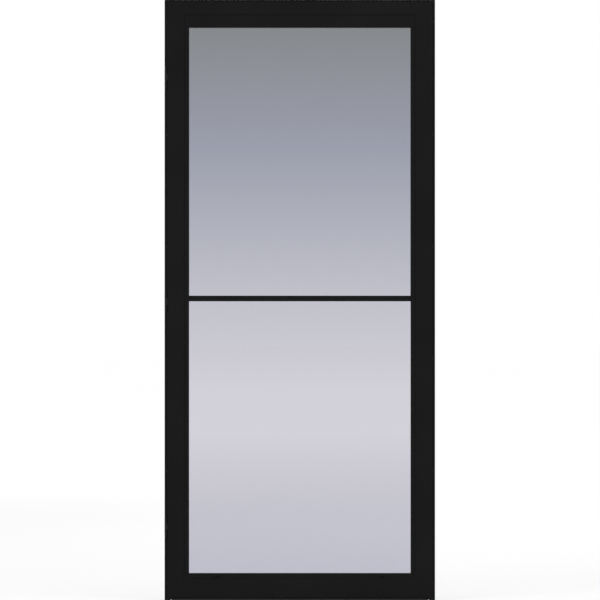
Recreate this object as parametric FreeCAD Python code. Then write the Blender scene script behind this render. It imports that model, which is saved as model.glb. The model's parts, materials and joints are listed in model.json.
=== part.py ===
"""Full-view aluminium storm door with a rolled insect screen, hung in its Z-bar frame.

Millimetres, +Z up. X runs from the hinge side to the latch side, and +Y runs from outdoors to indoors.
The origin is at the foot of the hinge-side mounting flange, midway across it, on its wall face.
"""

import FreeCAD, Part
import math
import os

Vector = FreeCAD.Vector

# Whole unit
UNIT_WIDTH = 914.4
UNIT_HEIGHT = 2032.0

# Z-bar frame
FLANGE_WIDTH = 19.0
ZBAR_WALL = 1.6
ZBAR_RADIUS = 0.8
STOP_WIDTH = 14.0
DRIP_REACH = 3.0
DRIP_FALL = 2.0

# Pile weatherstrip and its pocket in the stop
POCKET_WALL = 1.2
POCKET_LIP = 1.2
POCKET_DEPTH = 1.8
POCKET_OFFSET = 3.0
PILE_STAND = 4.0
PILE_WIDTH = 5.0
PILE_BACKING = 1.2
PILE_FIT = 0.3

# Screw holes in the mounting flanges
SCREW_HOLE_RADIUS = 2.5
SIDE_SCREW_COUNT = 6
SIDE_SCREW_MARGIN = 56.5
HEAD_SCREW_SPACING = 600.0

# Leaf: hollow stiles and rails with a lip in front of the window insert and a brim over the flanges
LEAF_CLEARANCE = 5.5
LEAF_DEPTH = 34.0
LEAF_PROUD = 14.0
STILE_WIDTH = 41.5
TOP_RAIL_HEIGHT = 27.6
BOTTOM_RAIL_HEIGHT = 62.0
LEAF_WALL = 1.6
LIP_WIDTH = 6.0
LIP_THICKNESS = 3.0
EDGE_RADIUS = 1.0
BRIM_LIFT = 4.0
BACK_RADIUS = 1.2
STILE_RIB_OFFSET = 20.0
RAIL_SHELF_HEIGHT = 32.0

# Retainer strips that hold the insert from indoors
RETAINER_THICKNESS = 3.0
RETAINER_WIDTH = 12.0
RETAINER_RADIUS = 1.5

# Foot of the leaf: expander channel and vinyl sweep
SILL_CLEARANCE = 1.0
FOOT_SPACE = 13.0
EXPANDER_WALL = 1.4
EXPANDER_LEG_HEIGHT = 24.0
EXPANDER_HEM = 4.4
EXPANDER_HOOK = 1.6
EXPANDER_SETBACK = 2.0
EXPANDER_FIT = 0.3
SWEEP_STRIP = 1.4
SWEEP_ROOT = 2.6
SWEEP_TIP = 1.2
SWEEP_SPACING = 8.0
SWEEP_COUNT = 3

# Window insert: tracks and sill
INSERT_FIT = 0.3
TRACK_FACE = 15.8
TRACK_WALL = 1.2
SILL_FACE = 16.0
SILL_FALL = 3.0
CHANNEL_DEPTH = 9.0
CHANNEL_WIDTH = 5.2
CHANNEL_SPACING = 12.0
OUTER_CHANNEL_SETBACK = 7.5
INSERT_RADIUS = 0.8
WEEP_LENGTH = 16.0
WEEP_HEIGHT = 3.0
WEEP_LIFT = 2.5
WEEP_INSET = 90.0

# Screen cassette
CASSETTE_FACE = 43.5
CASSETTE_WALL = 1.5
COVER_HEIGHT = 33.0
END_PLATE = 4.0
ROLL_RADIUS = 11.5
ROLL_HEADROOM = 0.8
ROLLER_RADIUS = 8.0
ROLLER_GAP = 1.0
AXLE_RADIUS = 3.0
AXLE_FIT = 0.05
SCREEN_TAIL = 0.6
PULL_BAR_HEIGHT = 3.2

# Glass and sash rails
GLASS_THICKNESS = 3.2
GASKET_BEAD = 1.0
SASH_FIT = 0.3
SASH_BITE = 8.0
MEETING_LINE = 1021.1
MEETING_RAIL_HEIGHT = 19.0
MEETING_RAIL_DEPTH = 8.0
MEETING_RADIUS = 0.6
HOOK_WALL = 0.9
HOOK_CLEARANCE = 0.6
HOOK_LAP = 6.0
SEAL_FIT = 0.1
PULL_LIP_REACH = 4.5
PULL_LIP_WALL = 1.8
SASH_HEAD_HEIGHT = 14.0
SASH_HEAD_WALL = 1.6
SASH_HEAD_LIFT = 2.5

# Sash latches and the vent notches that their bolts drop into
LATCH_LENGTH = 46.0
LATCH_HEIGHT = 11.0
LATCH_DEPTH = 5.0
LATCH_INSET = 14.0
LATCH_RADIUS = 2.0
SCOOP_RADIUS = 14.0
SCOOP_DEPTH = 2.4
BOLT_HEIGHT = 6.0
BOLT_DEPTH = 2.4
BOLT_THROW = 5.0
BOLT_RADIUS = 1.2
NOTCH_FIT = 0.4
NOTCH_COUNT = 4
NOTCH_PITCH = 230.0

# Hinges
HINGE_COUNT = 3
HINGE_FOOT_MARGIN = 236.0
HINGE_HEAD_MARGIN = 237.5
HINGE_LENGTH = 64.0
KNUCKLE_CLEARANCE = 0.5
KNUCKLE_GAP = 0.4
PIN_RADIUS = 3.0
PIN_FIT = 0.05
PIN_HEAD_RADIUS = 4.0
PIN_HEAD_HEIGHT = 2.5
PIN_CHAMFER = 0.8
PLATE_THICKNESS = 1.8
PLATE_RELIEF = 0.8
PLATE_MARGIN = 1.5
PLATE_RADIUS = 3.0
LEAF_PLATE_WIDTH = 22.0

# Places across the door
LEFT = -FLANGE_WIDTH / 2
RIGHT = LEFT + UNIT_WIDTH
CENTRE = (LEFT + RIGHT) / 2
WEB_FACE = LEFT + FLANGE_WIDTH
LEAF_LEFT = WEB_FACE + LEAF_CLEARANCE
LEAF_RIGHT = 2 * CENTRE - LEAF_LEFT
LIP_LEFT = LEAF_LEFT + STILE_WIDTH
REBATE_LEFT = LIP_LEFT - LIP_WIDTH
REBATE_RIGHT = 2 * CENTRE - REBATE_LEFT
INSERT_LEFT = REBATE_LEFT + INSERT_FIT
INSERT_RIGHT = 2 * CENTRE - INSERT_LEFT
SIGHT_LEFT = LIP_LEFT + TRACK_FACE
SIGHT_RIGHT = 2 * CENTRE - SIGHT_LEFT
CHANNEL_FLOOR = SIGHT_LEFT - CHANNEL_DEPTH
GASKET_WALL = (CHANNEL_WIDTH - GLASS_THICKNESS) / 2
GLASS_LEFT = CHANNEL_FLOOR + GASKET_WALL
GLASS_RIGHT = 2 * CENTRE - GLASS_LEFT

# Places through the door, from outdoors to indoors
LEAF_FRONT = -LEAF_PROUD
LEAF_BACK = LEAF_FRONT + LEAF_DEPTH
INSERT_FRONT = LEAF_FRONT + LIP_THICKNESS
INSERT_BACK = LEAF_BACK - RETAINER_THICKNESS
OUTER_GLASS = INSERT_FRONT + OUTER_CHANNEL_SETBACK
INNER_GLASS = OUTER_GLASS + CHANNEL_SPACING
PILE_TIP = LEAF_BACK + LEAF_CLEARANCE
POCKET_FRONT = PILE_TIP + PILE_STAND
POCKET_FLOOR = POCKET_FRONT + POCKET_WALL + POCKET_DEPTH
STOP_BACK = POCKET_FLOOR + ZBAR_WALL

# Places up the door
HEAD_FOOT = UNIT_HEIGHT - FLANGE_WIDTH
LEAF_TOP = HEAD_FOOT - LEAF_CLEARANCE
LEAF_FOOT = SILL_CLEARANCE + FOOT_SPACE
HEAD_LIP = LEAF_TOP - TOP_RAIL_HEIGHT
HEAD_REBATE = HEAD_LIP + LIP_WIDTH
CASSETTE_TOP = HEAD_REBATE - INSERT_FIT
COVER_FOOT = CASSETTE_TOP - COVER_HEIGHT
SIGHT_TOP = HEAD_LIP - CASSETTE_FACE
FOOT_LIP = LEAF_FOOT + BOTTOM_RAIL_HEIGHT
FOOT_REBATE = FOOT_LIP - LIP_WIDTH
SIGHT_FOOT = FOOT_LIP + SILL_FACE
GROOVE_FLOOR = SIGHT_FOOT - CHANNEL_DEPTH
MEETING_FOOT = MEETING_LINE - MEETING_RAIL_HEIGHT / 2
MEETING_TOP = MEETING_LINE + MEETING_RAIL_HEIGHT / 2
SASH_HEAD_FOOT = SIGHT_TOP + SASH_HEAD_LIFT
SASH_HEAD_TOP = SASH_HEAD_FOOT + SASH_HEAD_HEIGHT
LATCH_LINE = MEETING_FOOT + PULL_LIP_WALL + LATCH_HEIGHT / 2

# Sash rails and the screen roll, through the door
SASH_HEAD_HALF = GLASS_THICKNESS / 2 + SASH_FIT + SASH_HEAD_WALL
LOWER_RAIL_FRONT = OUTER_GLASS - MEETING_RAIL_DEPTH / 2
LOWER_RAIL_BACK = OUTER_GLASS + MEETING_RAIL_DEPTH / 2
UPPER_RAIL_FRONT = INNER_GLASS - MEETING_RAIL_DEPTH / 2
UPPER_RAIL_BACK = INNER_GLASS + MEETING_RAIL_DEPTH / 2
BOLT_FRONT = UPPER_RAIL_BACK + (LATCH_DEPTH - BOLT_DEPTH) / 2
ROLL_DEPTH = (INSERT_FRONT + INSERT_BACK) / 2
ROLL_HEIGHT = CASSETTE_TOP - CASSETTE_WALL - ROLL_HEADROOM - ROLL_RADIUS

# Hinge axis: in front of the flange and clear of it, with the barrels flush with its outer edge
KNUCKLE_RADIUS = PIN_RADIUS + PIN_FIT + PLATE_THICKNESS
HINGE_X = LEFT + KNUCKLE_RADIUS
HINGE_Y = -ZBAR_WALL - KNUCKLE_CLEARANCE - KNUCKLE_RADIUS

# Brim of the leaf: it ends beside the barrels, and the leaf plates lie on its back
BRIM_LEFT = HINGE_X + KNUCKLE_RADIUS + PLATE_RELIEF
BRIM_RIGHT = 2 * CENTRE - BRIM_LEFT
BRIM_TOP = UNIT_HEIGHT - (BRIM_LEFT - LEFT)
BRIM_BACK = HINGE_Y - KNUCKLE_RADIUS


# Sections and solids


def outline(corners, place):
    """A closed wire through (u, v, radius) corners, rounded by their radii and put in space by place."""
    flat = [Vector(u, v, 0) for u, v, _ in corners]
    stretches = []
    for i, (_, _, radius) in enumerate(corners):
        here = flat[i]
        back = (flat[i - 1] - here).normalize()
        ahead = (flat[(i + 1) % len(flat)] - here).normalize()
        if radius:
            half = back.getAngle(ahead) / 2
            reach = radius / math.tan(half)
            middle = here + (back + ahead).normalize() * (radius / math.sin(half) - radius)
            stretches.append((here + back * reach, middle, here + ahead * reach))
        else:
            stretches.append((here, here, here))
    edges = []
    for i, (start, middle, end) in enumerate(stretches):
        following = stretches[(i + 1) % len(stretches)][0]
        if corners[i][2]:
            edges.append(Part.Arc(place(start), place(middle), place(end)).toShape())
        edges.append(Part.LineSegment(place(end), place(following)).toShape())
    return Part.Wire(edges)


def prism(corners, cavities, place, run):
    """The section with the given corners and cavities, extruded along run."""
    face = Part.Face(outline(corners, place))
    holes = [Part.Face(outline(cavity, place)) for cavity in cavities]
    if holes:
        face = face.cut(holes).Faces[0]
    return face.extrude(run)


def upright(corners, low, high, cavities=()):
    """A section drawn in X and Y, run up from one height to another."""
    return prism(corners, cavities, lambda p: Vector(p.x, p.y, low), Vector(0, 0, high - low))


def level(corners, left, right, cavities=()):
    """A section drawn in Y and Z, run across from one side to another."""
    return prism(corners, cavities, lambda p: Vector(left, p.x, p.y), Vector(right - left, 0, 0))


def facing(corners, front, back, cavities=()):
    """An outline drawn in X and Z, given depth from front to back."""
    return prism(corners, cavities, lambda p: Vector(p.x, front, p.y), Vector(0, back - front, 0))


def sharp(*points):
    """Corners with no rounding."""
    return [(u, v, 0.0) for u, v in points]


def rectangle(u_low, v_low, u_high, v_high, radius=0.0):
    """Corners of a rectangle, all with the same radius."""
    points = [(u_low, v_low), (u_high, v_low), (u_high, v_high), (u_low, v_high)]
    return [(u, v, radius) for u, v in points]


def block(low, high):
    """A plain block between two opposite corners."""
    size = [b - a for a, b in zip(low, high)]
    return Part.makeBox(*size, Vector(*low))


def rod(radius, foot, run):
    """A round bar from foot along run."""
    return Part.makeCylinder(radius, run.Length, foot, run)


def fused(first, *others):
    """One solid from pieces that touch."""
    return first.fuse(list(others)).removeSplitter()


def across(shape):
    """The same shape on the other side of the door's centre line."""
    return shape.mirror(Vector(CENTRE, 0, 0), Vector(1, 0, 0))


def export(name, *solids):
    """Writes one node."""
    shape = solids[0] if len(solids) == 1 else Part.makeCompound(list(solids))
    shape.exportStep(os.path.join("parts", name + ".step"))


# Z-bar frame


def z_bar_section(front_corner):
    """Flange, web and stop with its pile pocket: (distance from the web to the leaf, depth, radius)."""
    near, far = POCKET_OFFSET, STOP_WIDTH
    hook = POCKET_WALL + POCKET_LIP
    lip_back = POCKET_FRONT + POCKET_WALL
    return [
        (-FLANGE_WIDTH, 0.0, 0.0),
        (-FLANGE_WIDTH, -ZBAR_WALL, ZBAR_RADIUS),
        *front_corner,
        (0.0, POCKET_FLOOR, 0.0),
        (near, POCKET_FLOOR, 0.0),
        (near, POCKET_FRONT, 0.0),
        (near + hook, POCKET_FRONT, 0.0),
        (near + hook, lip_back, 0.0),
        (near + POCKET_WALL, lip_back, 0.0),
        (near + POCKET_WALL, POCKET_FLOOR, 0.0),
        (far - POCKET_WALL, POCKET_FLOOR, 0.0),
        (far - POCKET_WALL, lip_back, 0.0),
        (far - hook, lip_back, 0.0),
        (far - hook, POCKET_FRONT, 0.0),
        (far, POCKET_FRONT, 0.0),
        (far, STOP_BACK, ZBAR_RADIUS),
        (-ZBAR_WALL, STOP_BACK, ZBAR_RADIUS),
        (-ZBAR_WALL, 0.0, 0.0),
    ]


def round_corner():
    """The side bars' front corner."""
    return [(0.0, -ZBAR_WALL, ZBAR_RADIUS)]


def drip_corner():
    """The head bar's front corner, drawn out into a sloping drip nose."""
    nose = -ZBAR_WALL - DRIP_REACH
    return [(-ZBAR_WALL - DRIP_FALL, -ZBAR_WALL, 0.0), (-ZBAR_WALL, nose, 0.0), (0.0, nose, ZBAR_RADIUS)]


def pile_section():
    """Woven backing in the pocket and the tuft that stands out of it, in the same measures."""
    middle = (POCKET_OFFSET + STOP_WIDTH) / 2
    backing = (STOP_WIDTH - POCKET_OFFSET) / 2 - POCKET_WALL - PILE_FIT
    tuft = PILE_WIDTH / 2
    root = POCKET_FLOOR - PILE_BACKING
    return sharp(
        (middle - backing, POCKET_FLOOR),
        (middle - backing, root),
        (middle - tuft, root),
        (middle - tuft, PILE_TIP),
        (middle + tuft, PILE_TIP),
        (middle + tuft, root),
        (middle + backing, root),
        (middle + backing, POCKET_FLOOR),
    )


def beside(corners):
    """A frame section on the hinge side."""
    return [(WEB_FACE + reach, depth, radius) for reach, depth, radius in corners]


def overhead(corners):
    """A frame section at the head."""
    return [(depth, HEAD_FOOT - reach, radius) for reach, depth, radius in corners]


def flange_hole(x, z):
    """A screw hole through a mounting flange."""
    return rod(SCREW_HOLE_RADIUS, Vector(x, -2 * ZBAR_WALL, z), Vector(0, 3 * ZBAR_WALL, 0))


def hinge_z_bar():
    """Side bar with its row of screw holes."""
    pitch = (HEAD_FOOT - 2 * SIDE_SCREW_MARGIN) / (SIDE_SCREW_COUNT - 1)
    holes = [flange_hole(0.0, SIDE_SCREW_MARGIN + step * pitch) for step in range(SIDE_SCREW_COUNT)]
    return upright(beside(z_bar_section(round_corner())), 0.0, HEAD_FOOT).cut(holes)


def head_z_bar():
    """Head bar with a drip nose, coped so that its web sits on the side bars and its stop fits between."""
    bar = level(overhead(z_bar_section(drip_corner())), LEFT, RIGHT)
    web_cope = block((LEFT, 0.0, LEAF_TOP), (WEB_FACE - ZBAR_WALL, STOP_BACK, UNIT_HEIGHT))
    stop_cope = block((LEFT, 0.0, HEAD_FOOT - STOP_WIDTH), (WEB_FACE + STOP_WIDTH, STOP_BACK, HEAD_FOOT))
    middle = HEAD_FOOT + FLANGE_WIDTH / 2
    holes = [flange_hole(CENTRE + side * HEAD_SCREW_SPACING / 2, middle) for side in (-1, 1)]
    return bar.cut([web_cope, stop_cope, across(web_cope), across(stop_cope), *holes])


def hinge_side_pile():
    """Weatherstrip slid into the side bar's pocket."""
    return upright(beside(pile_section()), 0.0, HEAD_FOOT)


def head_pile():
    """Weatherstrip across the head, between the side bars' stops."""
    left = WEB_FACE + STOP_WIDTH
    return level(overhead(pile_section()), left, 2 * CENTRE - left)


# Hinges


def hinge_heights():
    """Centre heights of the hinges, evenly spaced up the leaf."""
    low = LEAF_FOOT + HINGE_FOOT_MARGIN
    pitch = (LEAF_TOP - HINGE_HEAD_MARGIN - low) / (HINGE_COUNT - 1)
    return [low + step * pitch for step in range(HINGE_COUNT)]


def knuckle_spans(centre):
    """Heights of the frame's lower barrel, the leaf's middle barrel and the frame's upper barrel."""
    each = (HINGE_LENGTH - 2 * KNUCKLE_GAP) / 3
    lows = [centre - HINGE_LENGTH / 2 + step * (each + KNUCKLE_GAP) for step in range(3)]
    return [(low, low + each) for low in lows]


def knuckle(low, high):
    """One barrel, bored for the pin."""
    foot = Vector(HINGE_X, HINGE_Y, low)
    run = Vector(0, 0, high - low)
    return rod(KNUCKLE_RADIUS, foot, run).cut(rod(PIN_RADIUS + PIN_FIT, foot, run))


def frame_plate(centre):
    """Plate on the flange's face, with the two outer barrels."""
    lower, _, upper = knuckle_spans(centre)
    edge = WEB_FACE - PLATE_MARGIN
    plate = [
        (HINGE_X, lower[0], 0.0),
        (edge, lower[0], PLATE_RADIUS),
        (edge, upper[1], PLATE_RADIUS),
        (HINGE_X, upper[1], 0.0),
        (HINGE_X, upper[0], 0.0),
        (BRIM_LEFT, upper[0], 0.0),
        (BRIM_LEFT, lower[1], 0.0),
        (HINGE_X, lower[1], 0.0),
    ]
    sheet = facing(plate, -ZBAR_WALL - PLATE_THICKNESS, -ZBAR_WALL)
    return fused(sheet, knuckle(*lower), knuckle(*upper))


def leaf_plate(centre):
    """Plate bent round from the brim's back to the leaf's edge, with the middle barrel."""
    lower, middle, upper = knuckle_spans(centre)
    behind_brim = sharp(
        (BRIM_LEFT, lower[0]),
        (LEAF_LEFT, lower[0]),
        (LEAF_LEFT, upper[1]),
        (BRIM_LEFT, upper[1]),
        (BRIM_LEFT, middle[1]),
        (HINGE_X, middle[1]),
        (HINGE_X, middle[0]),
        (BRIM_LEFT, middle[0]),
    )
    edge = BRIM_BACK + LEAF_PLATE_WIDTH
    along_edge = [
        (BRIM_BACK, lower[0], 0.0),
        (edge, lower[0], PLATE_RADIUS),
        (edge, upper[1], PLATE_RADIUS),
        (BRIM_BACK, upper[1], 0.0),
    ]
    flap = facing(behind_brim, BRIM_BACK, BRIM_BACK + PLATE_THICKNESS)
    leg = level(along_edge, LEAF_LEFT - PLATE_THICKNESS, LEAF_LEFT)
    return fused(flap, leg, knuckle(*middle))


def hinge_pin(centre):
    """Pin through the three barrels, headed at both ends."""
    low, high = centre - HINGE_LENGTH / 2, centre + HINGE_LENGTH / 2
    foot, top = low - PIN_HEAD_HEIGHT, high + PIN_HEAD_HEIGHT
    crown = PIN_HEAD_RADIUS - PIN_CHAMFER
    profile = sharp(
        (0.0, foot),
        (crown, foot),
        (PIN_HEAD_RADIUS, foot + PIN_CHAMFER),
        (PIN_HEAD_RADIUS, low),
        (PIN_RADIUS, low),
        (PIN_RADIUS, high),
        (PIN_HEAD_RADIUS, high),
        (PIN_HEAD_RADIUS, top - PIN_CHAMFER),
        (crown, top),
        (0.0, top),
    )
    face = Part.Face(outline(profile, lambda p: Vector(HINGE_X + p.x, HINGE_Y, p.y)))
    return face.revolve(Vector(HINGE_X, HINGE_Y, 0), Vector(0, 0, 1), 360)


# Leaf frame


def hinge_stile():
    """Two-cell hollow extrusion, coped for the rails' lips; at the foot its brim alone goes on."""
    body = [
        (BRIM_LEFT, LEAF_FRONT, EDGE_RADIUS),
        (LIP_LEFT, LEAF_FRONT, EDGE_RADIUS),
        (LIP_LEFT, INSERT_FRONT, 0.0),
        (REBATE_LEFT, INSERT_FRONT, 0.0),
        (REBATE_LEFT, LEAF_BACK, BACK_RADIUS),
        (LEAF_LEFT, LEAF_BACK, BACK_RADIUS),
        (LEAF_LEFT, BRIM_BACK, 0.0),
        (BRIM_LEFT, BRIM_BACK, 0.0),
    ]
    rib = LEAF_LEFT + STILE_RIB_OFFSET
    front, back = LEAF_FRONT + LEAF_WALL, LEAF_BACK - LEAF_WALL
    cells = [
        rectangle(LEAF_LEFT + LEAF_WALL, front, rib - LEAF_WALL / 2, back),
        rectangle(rib + LEAF_WALL / 2, front, REBATE_LEFT - LEAF_WALL, back),
    ]
    stile = upright(body, BRIM_LIFT, LEAF_TOP, cells)
    copes = [
        block((REBATE_LEFT, LEAF_FRONT, low), (LIP_LEFT, INSERT_FRONT, high))
        for low, high in ((LEAF_FOOT, FOOT_LIP), (HEAD_LIP, LEAF_TOP))
    ]
    foot = block((LEAF_LEFT, LEAF_FRONT, BRIM_LIFT), (LIP_LEFT, LEAF_BACK, LEAF_FOOT))
    return stile.cut([*copes, foot])


def top_rail():
    """Hollow rail, coped to fit between the stiles; its brim runs on over their ends."""
    body = [
        (LEAF_FRONT, HEAD_LIP, EDGE_RADIUS),
        (INSERT_FRONT, HEAD_LIP, 0.0),
        (INSERT_FRONT, HEAD_REBATE, 0.0),
        (LEAF_BACK, HEAD_REBATE, BACK_RADIUS),
        (LEAF_BACK, LEAF_TOP, BACK_RADIUS),
        (BRIM_BACK, LEAF_TOP, 0.0),
        (BRIM_BACK, BRIM_TOP, 0.0),
        (LEAF_FRONT, BRIM_TOP, EDGE_RADIUS),
    ]
    cell = rectangle(
        LEAF_FRONT + LEAF_WALL, HEAD_REBATE + LEAF_WALL, LEAF_BACK - LEAF_WALL, LEAF_TOP - LEAF_WALL
    )
    cope = block((BRIM_LEFT, LEAF_FRONT, HEAD_LIP), (REBATE_LEFT, LEAF_BACK, LEAF_TOP))
    return level(body, BRIM_LEFT, BRIM_RIGHT, [cell]).cut([cope, across(cope)])


def bottom_rail():
    """Kick rail, hollow above its shelf and open below it for the expander."""
    front, back = LEAF_FRONT + LEAF_WALL, LEAF_BACK - LEAF_WALL
    shelf = LEAF_FOOT + RAIL_SHELF_HEIGHT
    body = [
        (LEAF_FRONT, LEAF_FOOT, 0.0),
        (front, LEAF_FOOT, 0.0),
        (front, shelf, 0.0),
        (back, shelf, 0.0),
        (back, LEAF_FOOT, 0.0),
        (LEAF_BACK, LEAF_FOOT, 0.0),
        (LEAF_BACK, FOOT_REBATE, BACK_RADIUS),
        (INSERT_FRONT, FOOT_REBATE, 0.0),
        (INSERT_FRONT, FOOT_LIP, 0.0),
        (LEAF_FRONT, FOOT_LIP, EDGE_RADIUS),
    ]
    cell = rectangle(front, shelf + LEAF_WALL, back, FOOT_REBATE - LEAF_WALL)
    return level(body, REBATE_LEFT, REBATE_RIGHT, [cell])


def bottom_expander():
    """Channel under the leaf: legs that slide up inside the bottom rail, and hooks that hold the sweep."""
    wall = EXPANDER_WALL
    front, back = LEAF_FRONT + EXPANDER_SETBACK, LEAF_BACK - EXPANDER_SETBACK
    leg_front = LEAF_FRONT + LEAF_WALL + EXPANDER_FIT
    leg_back = LEAF_BACK - LEAF_WALL - EXPANDER_FIT
    leg_top = LEAF_FOOT + EXPANDER_LEG_HEIGHT
    hem = LEAF_FOOT - EXPANDER_HEM
    underside = LEAF_FOOT - wall
    body = sharp(
        (leg_front, LEAF_FOOT),
        (leg_front, leg_top),
        (leg_front + wall, leg_top),
        (leg_front + wall, LEAF_FOOT),
        (leg_back - wall, LEAF_FOOT),
        (leg_back - wall, leg_top),
        (leg_back, leg_top),
        (leg_back, LEAF_FOOT),
        (back, LEAF_FOOT),
        (back, hem),
        (back - wall - EXPANDER_HOOK, hem),
        (back - wall - EXPANDER_HOOK, hem + wall),
        (back - wall, hem + wall),
        (back - wall, underside),
        (front + wall, underside),
        (front + wall, hem + wall),
        (front + wall + EXPANDER_HOOK, hem + wall),
        (front + wall + EXPANDER_HOOK, hem),
        (front, hem),
        (front, LEAF_FOOT),
    )
    channel = level(body, LEAF_LEFT, LEAF_RIGHT)
    cope = block((LEAF_LEFT, LEAF_FRONT, LEAF_FOOT), (REBATE_LEFT + EXPANDER_FIT, LEAF_BACK, leg_top))
    return channel.cut([cope, across(cope)])


def bottom_sweep():
    """Vinyl sweep: fins that hang from a strip held in the expander's hooks."""
    top = LEAF_FOOT - EXPANDER_WALL
    root = top - SWEEP_STRIP
    inset = EXPANDER_SETBACK + EXPANDER_WALL + EXPANDER_FIT
    front, back = LEAF_FRONT + inset, LEAF_BACK - inset
    comb = [(front, root)]
    for step in range(SWEEP_COUNT):
        middle = (front + back) / 2 + (step - (SWEEP_COUNT - 1) / 2) * SWEEP_SPACING
        comb.append((middle - SWEEP_ROOT / 2, root))
        comb.append((middle - SWEEP_TIP / 2, SILL_CLEARANCE))
        comb.append((middle + SWEEP_TIP / 2, SILL_CLEARANCE))
        comb.append((middle + SWEEP_ROOT / 2, root))
    comb += [(back, root), (back, top), (front, top)]
    return level(sharp(*comb), LEAF_LEFT, LEAF_RIGHT)


def hinge_side_retainer():
    """Strip that holds the insert's upright edge from indoors."""
    edge = REBATE_LEFT + RETAINER_WIDTH
    body = [
        (REBATE_LEFT, INSERT_BACK, 0.0),
        (edge, INSERT_BACK, 0.0),
        (edge, LEAF_BACK, RETAINER_RADIUS),
        (REBATE_LEFT, LEAF_BACK, 0.0),
    ]
    return upright(body, FOOT_REBATE, HEAD_REBATE)


def level_retainer(seat, edge):
    """Strip between the upright ones, from the rail that it seats on to its free edge."""
    body = [
        (INSERT_BACK, seat, 0.0),
        (INSERT_BACK, edge, 0.0),
        (LEAF_BACK, edge, RETAINER_RADIUS),
        (LEAF_BACK, seat, 0.0),
    ]
    left = REBATE_LEFT + RETAINER_WIDTH
    return level(body, left, 2 * CENTRE - left)


# Window insert


def channel_faces(depth):
    """Front and back of a glass channel."""
    return depth - CHANNEL_WIDTH / 2, depth + CHANNEL_WIDTH / 2


def hinge_side_track():
    """Hollow jamb track: an outdoor channel for the fixed pane and an indoor one for the sliding pane.

    The outdoor half stops under the screen cassette and the indoor half runs on up to the cassette's cover.
    """
    outer_front, outer_back = channel_faces(OUTER_GLASS)
    inner_front, inner_back = channel_faces(INNER_GLASS)
    body = [
        (INSERT_LEFT, INSERT_FRONT, 0.0),
        (SIGHT_LEFT, INSERT_FRONT, INSERT_RADIUS),
        (SIGHT_LEFT, outer_front, 0.0),
        (CHANNEL_FLOOR, outer_front, 0.0),
        (CHANNEL_FLOOR, outer_back, 0.0),
        (SIGHT_LEFT, outer_back, 0.0),
        (SIGHT_LEFT, inner_front, 0.0),
        (CHANNEL_FLOOR, inner_front, 0.0),
        (CHANNEL_FLOOR, inner_back, 0.0),
        (SIGHT_LEFT, inner_back, 0.0),
        (SIGHT_LEFT, INSERT_BACK, INSERT_RADIUS),
        (INSERT_LEFT, INSERT_BACK, 0.0),
    ]
    wall = TRACK_WALL
    arms = [(INSERT_FRONT, outer_front), (outer_back, inner_front), (inner_back, INSERT_BACK)]
    cells = [rectangle(CHANNEL_FLOOR, front + wall, SIGHT_LEFT - wall, back - wall) for front, back in arms]
    cells.append(
        rectangle(INSERT_LEFT + wall, INSERT_FRONT + wall, CHANNEL_FLOOR - wall, INSERT_BACK - wall)
    )
    track = upright(body, SIGHT_FOOT, COVER_FOOT, cells)
    cope = block((INSERT_LEFT, INSERT_FRONT, SIGHT_TOP), (SIGHT_LEFT, inner_front - wall, COVER_FOOT))
    notches = [vent_notch(LATCH_LINE - step * NOTCH_PITCH) for step in range(NOTCH_COUNT)]
    return track.cut([cope, *notches])


def vent_notch(height):
    """Pocket in the track's indoor arm that takes a sash latch's bolt at one vent setting."""
    half = BOLT_HEIGHT / 2 + NOTCH_FIT
    return block(
        (SIGHT_LEFT - BOLT_THROW - NOTCH_FIT, BOLT_FRONT - NOTCH_FIT, height - half),
        (SIGHT_LEFT, INSERT_BACK, height + half),
    )


def glazing_sill():
    """Hollow sill: a glass groove outdoors, a fall towards the glass indoors and weep slots in its face."""
    groove_front, groove_back = channel_faces(OUTER_GLASS)
    wall = TRACK_WALL
    ledge = SIGHT_FOOT - SILL_FALL
    body = [
        (INSERT_FRONT, FOOT_REBATE, 0.0),
        (INSERT_BACK, FOOT_REBATE, 0.0),
        (INSERT_BACK, SIGHT_FOOT, INSERT_RADIUS),
        (INNER_GLASS, ledge, 0.0),
        (groove_back, ledge, 0.0),
        (groove_back, GROOVE_FLOOR, 0.0),
        (groove_front, GROOVE_FLOOR, 0.0),
        (groove_front, SIGHT_FOOT, 0.0),
        (INSERT_FRONT, SIGHT_FOOT, INSERT_RADIUS),
    ]
    cells = [
        rectangle(INSERT_FRONT + wall, FOOT_REBATE + wall, groove_back, GROOVE_FLOOR - wall),
        rectangle(groove_back + wall, FOOT_REBATE + wall, INSERT_BACK - wall, ledge - wall),
    ]
    sill = level(body, INSERT_LEFT, INSERT_RIGHT, cells)
    left, low = SIGHT_LEFT + WEEP_INSET, FOOT_LIP + WEEP_LIFT
    slot = rectangle(left, low, left + WEEP_LENGTH, low + WEEP_HEIGHT)
    weep = facing(slot, INSERT_FRONT, INSERT_FRONT + wall)
    return sill.cut([weep, across(weep)])


def screen_cassette():
    """Housing of the rolled screen: face, roof and a lip below that reaches back to the sliding sash."""
    wall = CASSETTE_WALL
    lip_back = INNER_GLASS - SASH_HEAD_HALF - 2 * SASH_FIT
    body = [
        (INSERT_FRONT, SIGHT_TOP, INSERT_RADIUS),
        (lip_back, SIGHT_TOP, 0.0),
        (lip_back, SIGHT_TOP + wall, 0.0),
        (INSERT_FRONT + wall, SIGHT_TOP + wall, 0.0),
        (INSERT_FRONT + wall, CASSETTE_TOP - wall, 0.0),
        (INSERT_BACK - wall, CASSETTE_TOP - wall, 0.0),
        (INSERT_BACK - wall, CASSETTE_TOP, 0.0),
        (INSERT_FRONT, CASSETTE_TOP, 0.0),
    ]
    return level(body, INSERT_LEFT, INSERT_RIGHT)


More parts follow.
